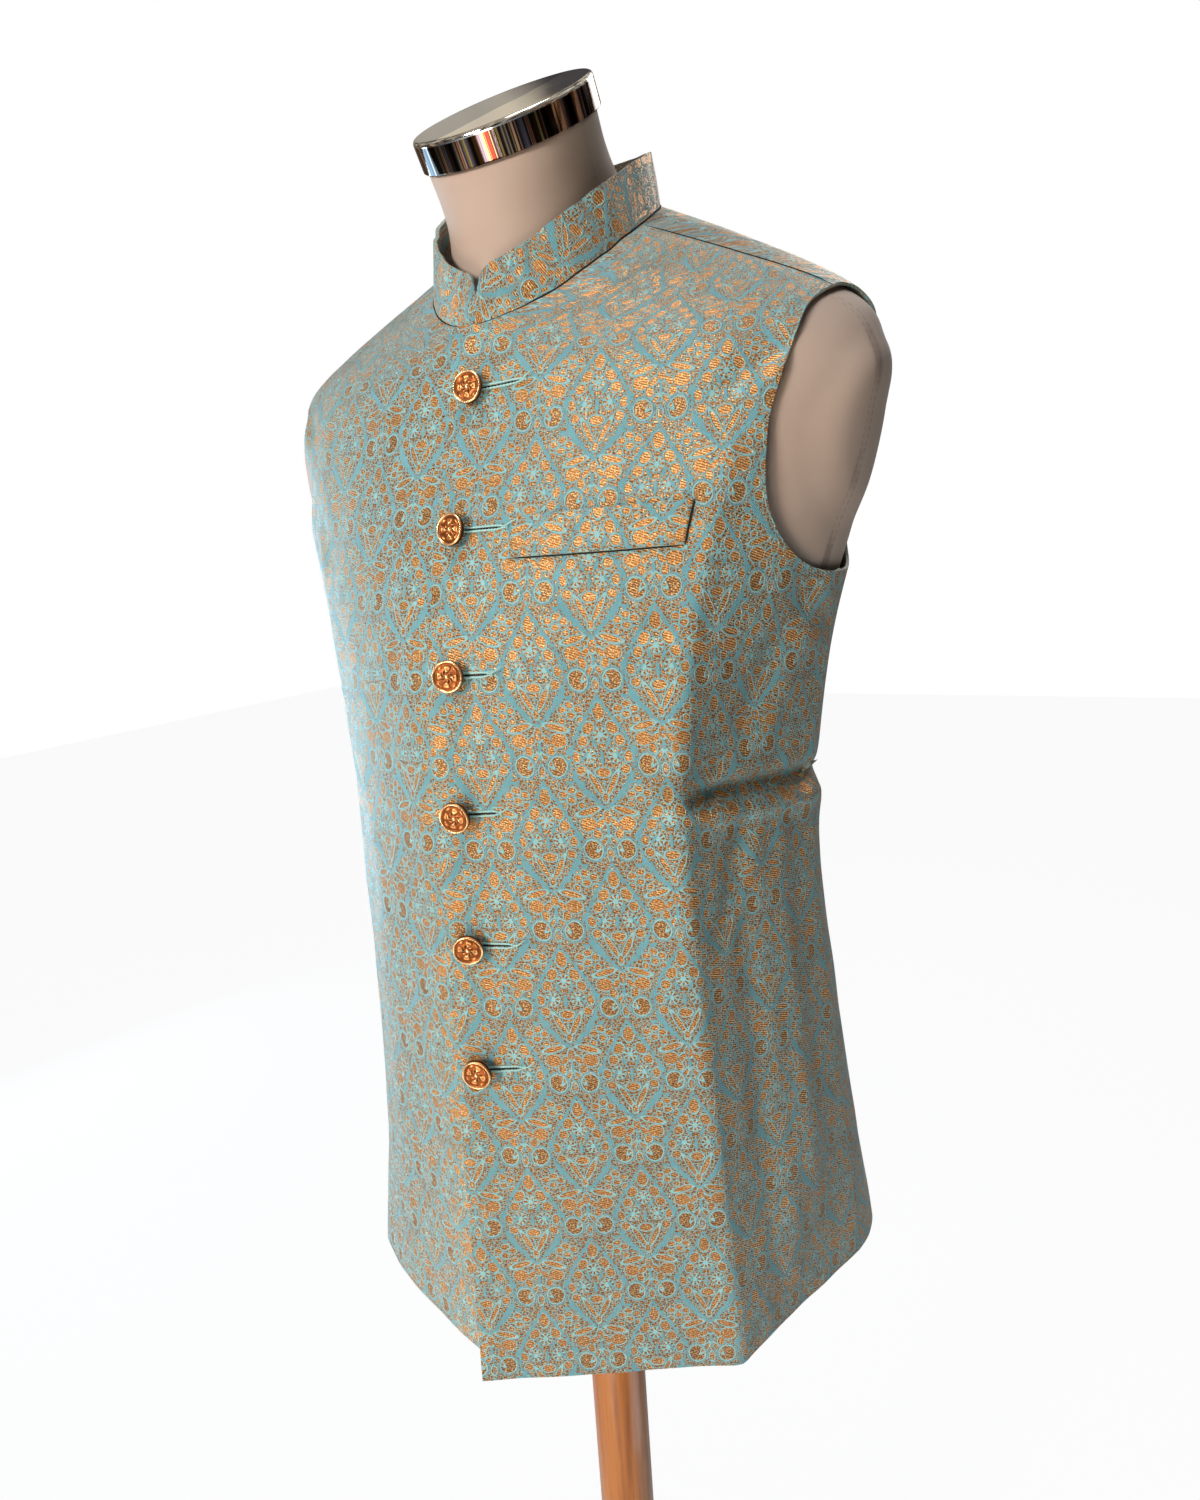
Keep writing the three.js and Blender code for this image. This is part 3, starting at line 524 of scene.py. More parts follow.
def brocade(name, tip, lean=0.0, turned=0.0):
    """The brocade's finish on a piece whose UV map is the flat cloth in metres. tip is where a
    palmette's tip falls on it, in millimetres, lean how far the columns drift per millimetre up,
    and turned an angle in degrees for cloth cut off the grain."""
    material, wire, shader = finish_of(name, sheen_weight=0.25, sheen_roughness=0.4, specular_ior_level=0.35)
    uv = wire.node("TexCoord", outlet=2)
    cloth = wire.node("Mapping", {"vector_type": "POINT"}, {
        "Vector": uv, "Rotation": (0, 0, np.radians(turned)), "Scale": (1000, 1000, 1)})
    wander = cloth.noise(0.35, 1.0, "2D").outlet(1)
    frayed = cloth.noise(0.5, 1.0, "2D")
    ragged = (frayed - 0.5) * 4.0
    pulled = wire.node("VectorMath", {"operation": "MULTIPLY_ADD"}, {0: wander, 1: (0.9, 0.9, 0), 2: cloth})
    across, up, _ = pulled.parts()
    from_tip = across - tip[0] + (up - tip[1]) * lean
    column = wire.math("ROUND", from_tip / PITCH)
    x = abs(from_tip - column * PITCH)
    odd = wire.math("FLOORED_MODULO", column, 2.0)
    fall = wire.math("FLOORED_MODULO", tip[1] - up + odd * (FALL / 2), FALL)

    def ogee(distance, below):
        """The ogee's half width at a fall, and how far a distance from its axis is past the outline:
        narrow at the tip, broad on the lower sides, none under it."""
        down = wire.math("MINIMUM", below / OGEE_LENGTH, 1.0)
        half = wire.math("SINE", wire.math("POWER", down, OGEE_SKEW) * np.pi) * OGEE_HALF
        line = (below / FALL).ramp([(place, (breadth, breadth, breadth, 1)) for place, breadth in OUTLINE])
        scallop = wire.math("SINE", below * 0.95) * 0.4
        return half, abs(distance - half) * 0.82 - line * (4.4 + scallop)

    half_here, band = ogee(x, fall)
    fall_beside = wire.math("FLOORED_MODULO", fall + FALL / 2, FALL)
    half_beside, band_beside = ogee(PITCH - x, fall_beside)
    band = wire.math("MINIMUM", band, band_beside)
    lower = wire.math("GREATER_THAN", fall, FALL / 2)
    outside = wire.math("GREATER_THAN", x, half_here) * (1.0 - lower)
    within_next = wire.math("LESS_THAN", PITCH - x, half_beside) * lower
    other = outside.most(within_next)
    x = x + other * (PITCH - 2 * x)
    fall = fall + other * (fall_beside - fall)
    spot = wire.node("CombineXYZ", {}, {0: x, 1: fall})

    def nearest(kind):
        """Distance in millimetres to the nearest woven shape of a kind, negative inside it."""
        closest = None
        for which, cx, cy, a, b, angle in ORNAMENT:
            if which != kind:
                continue
            local = wire.node("Mapping", {"vector_type": "TEXTURE"}, {
                "Vector": spot, "Location": (cx, cy, 0), "Rotation": (0, 0, np.radians(angle)),
                "Scale": (a, b, 1)})
            reach = wire.node("VectorMath", {"operation": "LENGTH"}, {0: local}, 1)
            distance = (reach - 1.0) * min(a, b)
            closest = distance if closest is None else wire.math("MINIMUM", closest, distance)
        return closest

    solid, plain, scroll = nearest("solid"), nearest("plain"), nearest("scroll")

    # Rosettes: eight petals round an eye, at whichever centre is nearer.
    to_first, to_second = (
        wire.node("VectorMath", {"operation": "SUBTRACT"}, {0: spot, 1: (*centre, 0)}) for centre in ROSETTES)
    first_reach, second_reach = (
        wire.node("VectorMath", {"operation": "LENGTH"}, {0: way}, 1) for way in (to_first, to_second))
    second = wire.math("GREATER_THAN", first_reach, second_reach)
    to_centre = wire.node("Mix", {"data_type": "VECTOR"}, {0: second, 4: to_first, 5: to_second}, 1)
    reach = wire.math("MINIMUM", first_reach, second_reach)
    sideways, downwards, _ = to_centre.parts()
    petals = wire.math("COSINE", wire.math("ARCTAN2", downwards, sideways) * 8.0)
    petal = wire.math("GREATER_THAN", petals, -0.15) * abs(reach - 3.1).within(1.25, 0.25)
    rosette = reach.within(ROSETTE_RADIUS, 0.3)

    # What fills the rest of a motif: fine broken scrolls of turquoise over the metal.
    tangle = wire.node("TexVoronoi", {"feature": "DISTANCE_TO_EDGE", "voronoi_dimensions": "2D"}, {
        "Vector": spot, "Scale": 0.36, "Randomness": 0.9})
    filler = tangle.within(0.085, 0.045)
    lines = abs(solid - 0.4).within(0.38, 0.2).most(abs(scroll).within(0.5, 0.2))
    rings = wire.math("GREATER_THAN", wire.math("SINE", scroll * 2.6), 0.6)
    in_scroll = scroll.within(0.0, 0.3)
    lines = lines.most(in_scroll * rings * petals.within(0.4, 0.3))
    in_solid = solid.within(0.05, 0.2)
    lines = lines.most(filler * (1.0 - in_solid) * (1.0 - in_scroll))
    lines = (lines * (1.0 - rosette)).most(rosette * (1.0 - petal))
    halo = abs(scroll - 1.2).within(0.4, 0.25)
    ground = (band + ragged).within(0.0, 0.3).most(plain.within(0.0, 0.3)).most(halo)

    # Threads: twill on the ground and weft ribs on the metal, with painted glints: pale gold spots in the
    # metal's colour that stand in for its highlights.
    twill = wire.math("SINE", (across + up * 1.3) * (2 * np.pi / 1.25))
    ribs = wire.math("SINE", (up + across * 0.35) * (2 * np.pi / 1.5))
    glint = cloth.noise(0.9, 2.0, "2D")
    slub = cloth.noise(0.06, 3.0, "2D")
    metal = (1.0 - ground) * (1.0 - lines)
    bright = glint.within(0.57, 0.035)
    silk = colour(wire, TURQUOISE).mix(colour(wire, TURQUOISE_DEEP), (twill * 0.5 + 0.5) * 0.6)
    silk = silk.mix(colour(wire, TURQUOISE_LINE), lines * (1.0 - ground) * 0.75)
    threads = colour(wire, GOLD).mix(colour(wire, BRONZE), ribs.rise(-0.6, 0.9) * 0.7)
    threads = threads.mix(colour(wire, BRONZE), (1.0 - in_solid) * 0.42)
    # Painted highlight: the pale gold glint colour goes on the metal wherever bright is 0.
    threads = threads.mix(colour(wire, PAINTED_GLINT_GOLD), (1.0 - bright) * 0.75)
    cloth_colour = silk.mix(threads, metal)
    worn = wire.node("Mix", {"data_type": "RGBA", "blend_type": "MULTIPLY"}, {
        0: 0.35, 6: cloth_colour, 7: colour(wire, "FFFFFF").mix(colour(wire, "A9A9A9"), slub)}, 2)
    relief = (lines * (1.0 - ground) * 0.9 + ground * (0.75 + twill * 0.18) + metal * (0.25 + ribs * 0.22)
              + glint * 0.2)
    plug(wire, shader, base_color=worn, metallic=metal * 0.62, roughness=0.52 - metal * 0.10,
         normal=relief.bump(0.9, 0.0011))
    return material


def lining(name):
    """Pale yellow satin lining, with a fine weave and a faint unevenness."""
    material, wire, shader = finish_of(name, roughness=0.42, sheen_weight=0.3)
    uv = wire.node("TexCoord", outlet=2)
    weave = uv.noise(900.0, 2.0)
    plug(wire, shader, base_color=colour(wire, "D9C27E").mix(colour(wire, "B79D5C"), weave),
         normal=weave.bump(0.3, 0.0002))
    return material


# ---- Jacket panels: two fronts and the back ----
# Each is brocade on canvas with a satin lining, 2 mm in all, cut with a curved armhole and a
# slanting shoulder, seamed at side and shoulder. The left front laps over the right.
CLOTH_WALL = 2.0
SEAM_GAP = 0.3
LAP_WIDTH = 16.0
FRONT_WIDTH = 240.0            # from centre front to the side seam
LAP_CLEARANCE = 0.7
EDGE_SPRING = 2.4
ARMHOLE_LOW, ARMHOLE_HIGH = 532.0, 703.0
ARMHOLE_FRONT_CUT, ARMHOLE_BACK_CUT = 0.19, 0.17
ARMHOLE_SQUARENESS = 2.5
ARMHOLE_RUN, SHOULDER_RUN = 230, 70      # millimetres of cloth round the armhole, and over the shoulder
FRONT_SPACING, BACK_SPACING = 2.6, 3.3   # between a panel's rows and columns
CLOTH_COLUMNS, CLOTH_ROWS = 81, 200      # of the table that cloth_height reads
SIDE_U, SHOULDER_U = 0.5, 0.462
EDGE_TICKS = np.array([0, 0.35, 0.8, 1.4, 2.2])


def left_front(u, v, offset=0.0):
    """The left front moved out by offset: lifted over the underlap, straight on past the centre to
    an edge that springs off a little."""
    def spread(a, b):
        edge = jacket(0 * a, b)
        step = (jacket(0 * a + 0.004, b) - edge) / 0.004
        return np.where((a >= 0)[..., None], jacket(a, b), edge + step * a[..., None])
    u, v = np.broadcast_arrays(np.asarray(u, float), np.asarray(v, float))
    lift = (CLOTH_WALL + LAP_CLEARANCE) * (1 - smooth(0.06, 0.2, u))
    lift = lift + EDGE_SPRING * (1 - smooth(-0.03, 0.02, u))
    return spread(u, v) + outward(spread, u, v) * (lift + fold_height(u, v) + offset)[..., None]


def plain_cloth(u, v, offset=0.0):
    """The right front and the back: the body's own surface with its folds."""
    u, v = np.broadcast_arrays(np.asarray(u, float), np.asarray(v, float))
    return jacket(u, v) + outward(jacket, u, v) * (fold_height(u, v) + offset)[..., None]


def armhole_height(v):
    return np.clip((v - ARMHOLE_LOW) / (ARMHOLE_HIGH - ARMHOLE_LOW), 0, 1)


def armhole_share(v):
    """Share of its full depth that the armhole cuts in at level v: a squared oval."""
    return (1 - np.abs(2 * armhole_height(v) - 1)**ARMHOLE_SQUARENESS)**(1 / ARMHOLE_SQUARENESS)


def seam_u(v):
    return SIDE_U + (SHOULDER_U - SIDE_U) * armhole_height(v)


def front_edge(v):
    return seam_u(v) - ARMHOLE_FRONT_CUT * armhole_share(v) - SEAM_GAP / 2 / FOLD_SCALE


def back_edge(v):
    return seam_u(v) + ARMHOLE_BACK_CUT * armhole_share(v) + SEAM_GAP / FOLD_SCALE


def levels(spacing):
    """Rows of a panel: close at the hem's edge, even up to the armhole, cosine-spaced round it, and
    even over the shoulder to a close edge at the neck."""
    skirt = np.linspace(EDGE_TICKS[-1], ARMHOLE_LOW, round(ARMHOLE_LOW / spacing))
    swing = np.linspace(0, np.pi, round(ARMHOLE_RUN / spacing))
    armhole = ARMHOLE_LOW + (ARMHOLE_HIGH - ARMHOLE_LOW) * (1 - np.cos(swing)) / 2
    shoulder = np.linspace(ARMHOLE_HIGH, NECK_LEVEL - EDGE_TICKS[-1], round(SHOULDER_RUN / spacing))
    neck = (NECK_LEVEL - EDGE_TICKS[:-1])[::-1]
    return np.concatenate([EDGE_TICKS[:-1], skirt, armhole[1:], shoulder[1:], neck])


def cloth_height(u, v):
    """Height of u, v on the flat cloth: the length of the body's upright line from hem to v."""
    grid_u, grid_v = np.linspace(-1, 1, CLOTH_COLUMNS), np.linspace(0, NECK_LEVEL, CLOTH_ROWS)
    points = body(JACKET_RINGS, grid_u[:, None], grid_v[None])
    steps = np.linalg.norm(np.diff(points, axis=1), axis=-1)
    table = np.concatenate([np.zeros((CLOTH_COLUMNS, 1)), np.cumsum(steps, 1)], 1)
    fu = (np.clip(np.where(u > 1, u - 2, u), -1, 1) + 1) * (CLOTH_COLUMNS - 1) / 2
    fv = v / NECK_LEVEL * (CLOTH_ROWS - 1)
    iu, iv = np.clip(fu.astype(int), 0, CLOTH_COLUMNS - 2), np.clip(fv.astype(int), 0, CLOTH_ROWS - 2)
    a, b = fu - iu, fv - iv
    return ((table[iu, iv] * (1 - a) + table[iu + 1, iv] * a) * (1 - b)
            + (table[iu, iv + 1] * (1 - a) + table[iu + 1, iv + 1] * a) * b)


def sheet_mesh(name, points, flat, materials):
    """An open sheet from a grid of points in jacket millimetres, rows along u, with the flat cloth's
    metres as its UV map. Its faces point outwards."""
    rows, columns = points.shape[:2]
    index = np.arange(rows * columns).reshape(rows, columns)
    corners = np.stack([index[:-1, :-1], index[:-1, 1:], index[1:, 1:], index[1:, :-1]], -1).reshape(-1, 4)
    mesh = bpy.data.meshes.new(name)
    mesh.vertices.add(rows * columns)
    mesh.vertices.foreach_set("co", (points.reshape(-1, 3) * MM + jacket_centre).ravel())
    mesh.loops.add(corners.size)
    mesh.loops.foreach_set("vertex_index", corners.ravel())
    mesh.polygons.add(len(corners))
    mesh.polygons.foreach_set("loop_start", np.arange(0, corners.size, 4))
    mesh.polygons.foreach_set("use_smooth", np.ones(len(corners), bool))
    uv = mesh.uv_layers.new(name="cloth")
    uv.data.foreach_set("uv", (flat.reshape(-1, 2) * MM)[corners.ravel()].ravel())
    mesh.update(calc_edges=True)
    mesh.validate()
    for material in materials:
        mesh.materials.append(material)
    made = bpy.data.objects.new(name, mesh)
    scene.collection.objects.link(made)
    return made


def thicken(piece, wall, inside=0, edge=0.5, rim=0):
    """Gives a sheet its wall, inwards, with inside and rim as offsets to its materials, and softens
    the rim."""
    wall_modifier = piece.modifiers.new("wall", "SOLIDIFY")
    wall_modifier.thickness = wall * MM
    wall_modifier.offset = -1
    wall_modifier.use_even_offset = True
    wall_modifier.material_offset = inside
    wall_modifier.material_offset_rim = rim
    soften = piece.modifiers.new("edge", "BEVEL")
    soften.width = edge * MM
    soften.segments = 2
    soften.limit_method = "ANGLE"
    soften.angle_limit = np.radians(50)


def flat_cloth(points, u, v, origin_column):
    """Flat coordinates in millimetres: height along the upright lines, and across whatever is left
    of each step's length."""
    height = cloth_height(u, v)
    steps = np.linalg.norm(np.diff(points, axis=1), axis=-1)
    rises = np.diff(height, axis=1)
    run = np.sqrt(np.maximum(steps**2 - rises**2, 0.04))
    width = np.concatenate([np.zeros((len(run), 1)), np.cumsum(run, 1)], 1)
    return np.stack([width - width[:, origin_column:origin_column + 1], height], -1)


def sheet_sizes(points, flat):
    """Width and length of the flat cut, and its area in square metres."""
    width, length = np.ptp(flat[..., 0]) * MM, np.ptp(flat[..., 1]) * MM
    a = points[1:, 1:] - points[:-1, :-1]
    b = points[1:, :-1] - points[:-1, 1:]
    area = np.linalg.norm(np.cross(a, b), axis=-1).sum() / 2 * MM * MM
    return (width, length), min(area, width * length)


def edged(count):
    """Shares from 0 to 1, even but for close ones at both ends."""
    return np.concatenate([[0, 0.0018, 0.0045], np.linspace(0.01, 0.99, count), [0.9955, 0.9982, 1]])


def front_panel(name, cloth, side, finish):
    """A front: the lap's columns, then those out to the side seam, armhole or shoulder seam."""
    v = levels(FRONT_SPACING)[:, None]
    lap = LAP_WIDTH * 0.01 / np.linalg.norm(jacket(0 * v + 0.01, v) - jacket(0 * v, v), axis=-1)
    past = -lap * np.concatenate([1 - EDGE_TICKS / LAP_WIDTH, np.linspace(0.8, 0.15, 5)])
    out = front_edge(v) * edged(round(FRONT_WIDTH / FRONT_SPACING))[3:]
    u = np.concatenate([past, 0 * v, out], 1)
    origin = past.shape[1]
    if side < 0:
        u = -u[:, ::-1]
        origin = u.shape[1] - 1 - origin
    v = np.broadcast_to(v, u.shape)
    points = cloth(u, v)
    flat = flat_cloth(points, u, v, origin)
    piece = sheet_mesh(name + "_panel", points, flat, [finish, satin, turned_edge])
    thicken(piece, CLOTH_WALL, inside=1, rim=2)
    size, area = sheet_sizes(points, flat)
    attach(piece, "root")
    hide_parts(name)


def folded_edge_highlight(name):
    """The brocade where it turns over an edge: pale turquoise silk floats and a few gold threads, the pale
    tone partly the silk's own and partly a painted highlight along the fold.
    """
    material, wire, shader = finish_of(name, roughness=0.6, sheen_weight=0.3)
    spot = wire.node("TexCoord", outlet=3)
    threads = spot.noise(650.0, 2.0)
    # The pale turquoise is partly the silk's own colour and partly a painted highlight along the fold.
    mixed = colour(wire, "9CC7C2").mix(colour(wire, "B58A58"), threads.within(0.47, 0.06))
    plug(wire, shader, base_color=mixed,
         normal=threads.bump(0.3, 0.0003))
    return material


satin = lining("satin_lining")
turned_edge = folded_edge_highlight("folded_edge_highlight")
front_panel("front_left", left_front, 1, brocade("brocade_left", (65.0, 107.0), 0.032))
front_panel("front_right", plain_cloth, -1, brocade("brocade_right", (-10.0, 107.0), -0.012))

back_v = levels(BACK_SPACING)[:, None]
back_u = back_edge(back_v) + (2 - 2 * back_edge(back_v)) * edged(140)
back_v = np.broadcast_to(back_v, back_u.shape)
back_points = plain_cloth(back_u, back_v)
back_flat = flat_cloth(back_points, back_u, back_v, back_u.shape[1] // 2)
back = sheet_mesh("back_panel", back_points, back_flat,
                  [brocade("brocade_back", (0.0, 93.0)), satin, turned_edge])
thicken(back, CLOTH_WALL, inside=1, rim=2)
back_size, back_area = sheet_sizes(back_points, back_flat)
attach(back, "root")
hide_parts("back")

# ---- Collar ----
# A stand-up mandarin collar: a stiffened band of the same brocade cut off the grain, brocade
# inside too, sewn to the neckline. Its two ends meet at centre front and round off there.
COLLAR_HEIGHT, COLLAR_END_HEIGHT = 32.0, 9.0
COLLAR_END_ROUND = 24.0
COLLAR_SQUARENESS = 2.4
COLLAR_WALL = 2.6
COLLAR_LEAN = np.radians(9)


def neckline(w):
    """The neck edge of the panels: w runs from 0 at centre front round the wearer's left to 2."""
    w = np.asarray(w, float)
    return np.where((w < 1)[..., None], left_front(w, NECK_LEVEL), plain_cloth(w, NECK_LEVEL))


def unit(vectors):
    return vectors / np.linalg.norm(vectors, axis=-1, keepdims=True)


collar_w = np.linspace(0.004, 1.996, 801)
neck_edge = neckline(collar_w)
neck_run = np.concatenate([[0], np.cumsum(np.linalg.norm(np.diff(neck_edge, axis=0), axis=1))])
total = neck_run[-1]
collar_swing = np.linspace(0.13, np.pi - 0.13, 250)
collar_length = np.sort(np.concatenate([
    EDGE_TICKS, total * (1 - np.cos(collar_swing)) / 2, total - EDGE_TICKS[::-1]]))
w = np.interp(collar_length, neck_run, collar_w)
along = unit(neckline(np.minimum(w + 0.01, 1.9999)) - neckline(np.maximum(w - 0.01, 0.0)))
away = unit(np.stack([along[:, 1], -along[:, 0], 0 * w], 1))
rise = unit(np.cross(away, along))
rise = rise * np.sign(rise[:, 2:])
upwards = rise * np.cos(COLLAR_LEAN) - away * np.sin(COLLAR_LEAN)
from_end = np.clip(np.minimum(collar_length, total - collar_length) / COLLAR_END_ROUND, 0, 1)
end_round = (1 - (1 - from_end)**COLLAR_SQUARENESS)**(1 / COLLAR_SQUARENESS)
full = COLLAR_END_HEIGHT + (COLLAR_HEIGHT - COLLAR_END_HEIGHT) * end_round
share = np.concatenate([[0, 0.012, 0.03], np.linspace(0.06, 0.94, 12), [0.97, 0.988, 1]])[:, None]
bow = np.sin(share * np.pi) * 0.5
collar_points = (neckline(w)[None] + upwards[None] * (SEAM_GAP + 0.2 + share * full)[..., None]
                 + away[None] * bow[..., None])
collar_flat = np.stack(np.broadcast_arrays(collar_length[None], share * full), -1)
collar_finish = brocade("brocade_collar", (24.0, 30.0), 0.0, 62.0)
collar = sheet_mesh("collar_band", collar_points, collar_flat, [collar_finish, turned_edge])
thicken(collar, COLLAR_WALL, edge=0.7, rim=1)
collar_size, collar_area = sheet_sizes(collar_points, collar_flat)
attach(collar, "root")
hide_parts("collar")


# ---- Pocket welt ----
# The welt of the chest pocket: a folded band of brocade sewn down along its foot and both ends,
# its open top edge standing off the chest.
WELT_LOW, WELT_HIGH = 558.5, 586.5
WELT_START, WELT_END = 0.056, 0.226
WELT_GAP, WELT_WALL = 0.4, 1.6

welt_share = np.concatenate([EDGE_TICKS / 90, np.linspace(0.04, 0.96, 60), 1 - EDGE_TICKS[::-1] / 90])[None]
welt_u = WELT_START + (WELT_END - WELT_START) * welt_share
welt_v = np.concatenate([WELT_LOW + EDGE_TICKS, np.linspace(WELT_LOW + 3, WELT_HIGH - 3, 18),
                         WELT_HIGH - EDGE_TICKS[::-1]])[:, None]
sewn = np.minimum((welt_v - WELT_LOW) / 2.4, np.minimum(welt_share, 1 - welt_share) * 90 / 1.6)
proud = WELT_GAP + WELT_WALL - 0.55 * (1 - smooth(0, 1, sewn))
proud = proud + 1.6 * smooth(WELT_LOW + 12, WELT_HIGH, welt_v) * np.sin(np.pi * welt_share)
welt_u, welt_v = np.broadcast_arrays(welt_u, welt_v)
welt_points = left_front(welt_u, welt_v, proud)
welt_flat = flat_cloth(welt_points, welt_u, welt_v, 0)
welt = sheet_mesh("pocket_welt_band", welt_points, welt_flat,
                  [brocade("brocade_welt", (18.7, 538.0), 0.04), turned_edge])
thicken(welt, WELT_WALL, edge=0.5, rim=1)
welt_size, welt_area = sheet_sizes(welt_points, welt_flat)
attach(welt, "root")
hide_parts("pocket_welt")


# ---- Buttons ----
# Six cast shank buttons of antiqued copper-gold, a raised eight-petalled flower inside a rope rim,
# sewn on through the laps. Each hangs at its own angle.
BUTTON_TOP, BUTTON_PITCH = 655.0, 85.0
BUTTON_HANG = [(6, 4), (9, -5), (5, 8), (8, -6), (10, 5), (4, -8)]


def solid_mesh(name, points, materials, attribute=None):
    """A mesh from a grid of points in jacket millimetres whose columns wrap round; its first and
    last rows close to a fan's centre each. attribute is a named value at each point."""
    rows, columns = points.shape[:2]
    index = np.arange(rows * columns).reshape(rows, columns)
    after = np.roll(index, -1, 1)
    quads = np.stack([index[:-1], after[:-1], after[1:], index[1:]], -1).reshape(-1, 4).tolist()
    ends = points[[0, -1]].mean(1)
    count = rows * columns
    fans = [(count, b, a) for a, b in zip(index[0], after[0])]
    fans += [(count + 1, a, b) for a, b in zip(index[-1], after[-1])]
    every = np.concatenate([points.reshape(-1, 3), ends]) * MM + jacket_centre
    mesh = bpy.data.meshes.new(name)
    mesh.from_pydata(every.tolist(), [], quads + [tuple(map(int, f)) for f in fans])
    mesh.polygons.foreach_set("use_smooth", np.ones(len(mesh.polygons), bool))
    if attribute:
        values = np.concatenate([attribute[1].ravel(), [attribute[1][0].mean(), attribute[1][-1].mean()]])
        mesh.attributes.new(attribute[0], "FLOAT", "POINT").data.foreach_set("value", values)
    for material in materials:
        mesh.materials.append(material)
    made = bpy.data.objects.new(name, mesh)
    scene.collection.objects.link(made)
    return made


def level_at_front(z):
    """Level whose ring passes the centre front at height z."""
    v = np.linspace(0, NECK_LEVEL, 800)
    return float(np.interp(z, jacket(0 * v, v)[:, 2], v))


def button_face(r, angle):
    """Height of the face at radius r: a rim with rope notches, a groove, then a low dome that
    carries eight petals with hollow hearts, beads between them and a boss in the middle."""
    rim = 1.1 * np.exp(-((r - 9.1) / 0.75)**2) * (1 + 0.04 * np.cos(36 * angle))
    dome = 0.7 * (1 - (r / 8)**2) * (r < 8)
    petal = np.clip(np.cos(4 * angle), 0, 1)**0.6
    petals = 0.75 * petal * np.exp(-((r - 4.9) / 1.7)**4) - 0.55 * petal**3 * np.exp(-((r - 5.1) / 0.8)**2)
    beads = 0.6 * np.clip(-np.cos(4 * angle), 0, 1)**2 * np.exp(-((r - 6.9) / 0.7)**2)
    scroll = 0.35 * np.cos(8 * angle + 1.6 * r) * np.exp(-((r - 3.1) / 0.8)**2)
    boss = 0.7 * np.exp(-(r / 1.3)**4)
    return 7.0 + rim + dome + petals + beads + scroll + boss


def antique_metal():
    """Copper-gold with dark patina in the hollows of the relief and bright worn high points."""
    material, wire, shader = finish_of("antique_gold", metallic=0.92)
    relief = wire.node("Attribute", {"attribute_name": "relief"}, {}, 2)
    spot = wire.node("TexCoord", outlet=3)
    grain = spot.noise(900.0, 3.0)
    worn = (relief + grain * 0.3).rise(0.05, 1.0)
    tone = worn.ramp([
        (0, paint("3A1C0C")), (0.4, paint("8C4E28")), (0.75, paint("D8965A")), (1, paint("FFD29A"))])
    plug(wire, shader, base_color=tone, roughness=0.5 - worn * 0.25,
         normal=grain.bump(0.2, 0.0002))
    return material


patina = antique_metal()
button_side = np.array([                  # radius and height, up the shank and the edge
    [0.5, 0.8], [2.6, 0.8], [2.6, 3.8], [4.0, 3.9], [8.4, 4.1], [9.4, 4.6], [9.9, 5.3], [10, 6.0],
    [9.98, 6.8], [9.8, 7.6]])
button_rings = np.concatenate([button_side[:, 0], np.linspace(9.6, 0.12, 52)])[:, None]
button_turn = np.linspace(0, 2 * np.pi, 144, endpoint=False)[None]
button_height = np.where(np.arange(len(button_rings))[:, None] < len(button_side),
                         np.interp(np.arange(len(button_rings)), np.arange(len(button_side)),
                                   button_side[:, 1])[:, None],
                         button_face(button_rings, button_turn))
button_local = np.stack(np.broadcast_arrays(
    button_rings * np.cos(button_turn), button_rings * np.sin(button_turn), button_height), -1)
button_relief = np.clip((button_height - 6.9 - 0.5 * (1 - (button_rings / 8)**2).clip(0)) / 1.1, 0, 1)
button_levels = [level_at_front(BUTTON_TOP - k * BUTTON_PITCH) for k in range(6)]
for k, (nod, swing) in enumerate(BUTTON_HANG):
    seat = left_front(0, button_levels[k])
    facing = Vector(left_front(0, button_levels[k], 1.0) - seat).normalized()
    aim = (Matrix.Rotation(np.radians(nod), 3, "X") @ Matrix.Rotation(np.radians(swing), 3, "Z")
           @ Vector((0, 0, 1)).rotation_difference(facing).to_matrix())
    placed = button_local @ np.array(aim).T + seat
    button = solid_mesh(f"button_cast_{k + 1}", placed, [patina], attribute=("relief", button_relief))
    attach(button, "root")
    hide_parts(f"button_{k + 1}")


# ---- Buttonholes ----
# Worked by hand in pale turquoise silk: two lips of stitching from under each button, either side of
# a slit, closed by a bar, with an end of thread left loose. The slit's shade is painted shadow, a near-black
# cord between the lips. One arch of thread stands beside the top button. Each row is a hole: its length and
# its slant, and how far its thread end curls.
HOLE_THREAD = 0.5
HOLE_SPREAD = 1.12             # more u to a millimetre there than FOLD_SCALE says
HOLE_START = 0.004
HOLES = [(23, 1.5, 2.6), (21, 0.5, 1.6), (19, 1.0, 2.0), (20, 0.5, 1.2), (22, -0.5, 2.2), (20, 1.0, 1.8)]


def thread_silk():
    """Twisted silk thread: fine slanting plies."""
    material, wire, shader = finish_of("buttonhole_silk", roughness=0.5, sheen_weight=0.4)
    spot = wire.node("TexCoord", outlet=3)
    ply = spot.noise(1400.0, 2.0)
    plug(wire, shader, base_color=colour(wire, "6FB0B0").mix(colour(wire, "BFE0D8"), ply),
         normal=ply.bump(0.4, 0.0002))
    return material


silk_thread = thread_silk()


def seam_shadow_finish():
    """Near-black with a faint mottle: painted shadow for the cords laid in seams and buttonhole slits."""
    material, wire, shader = finish_of("seam_shade", roughness=0.9, specular_ior_level=0.1)
    spot = wire.node("TexCoord", outlet=3)
    mottle = spot.noise(500.0, 2.0)
    plug(wire, shader, base_color=colour(wire, "16191A").mix(colour(wire, "3A3A34"), mottle))
    return material


seam_shade = seam_shadow_finish()


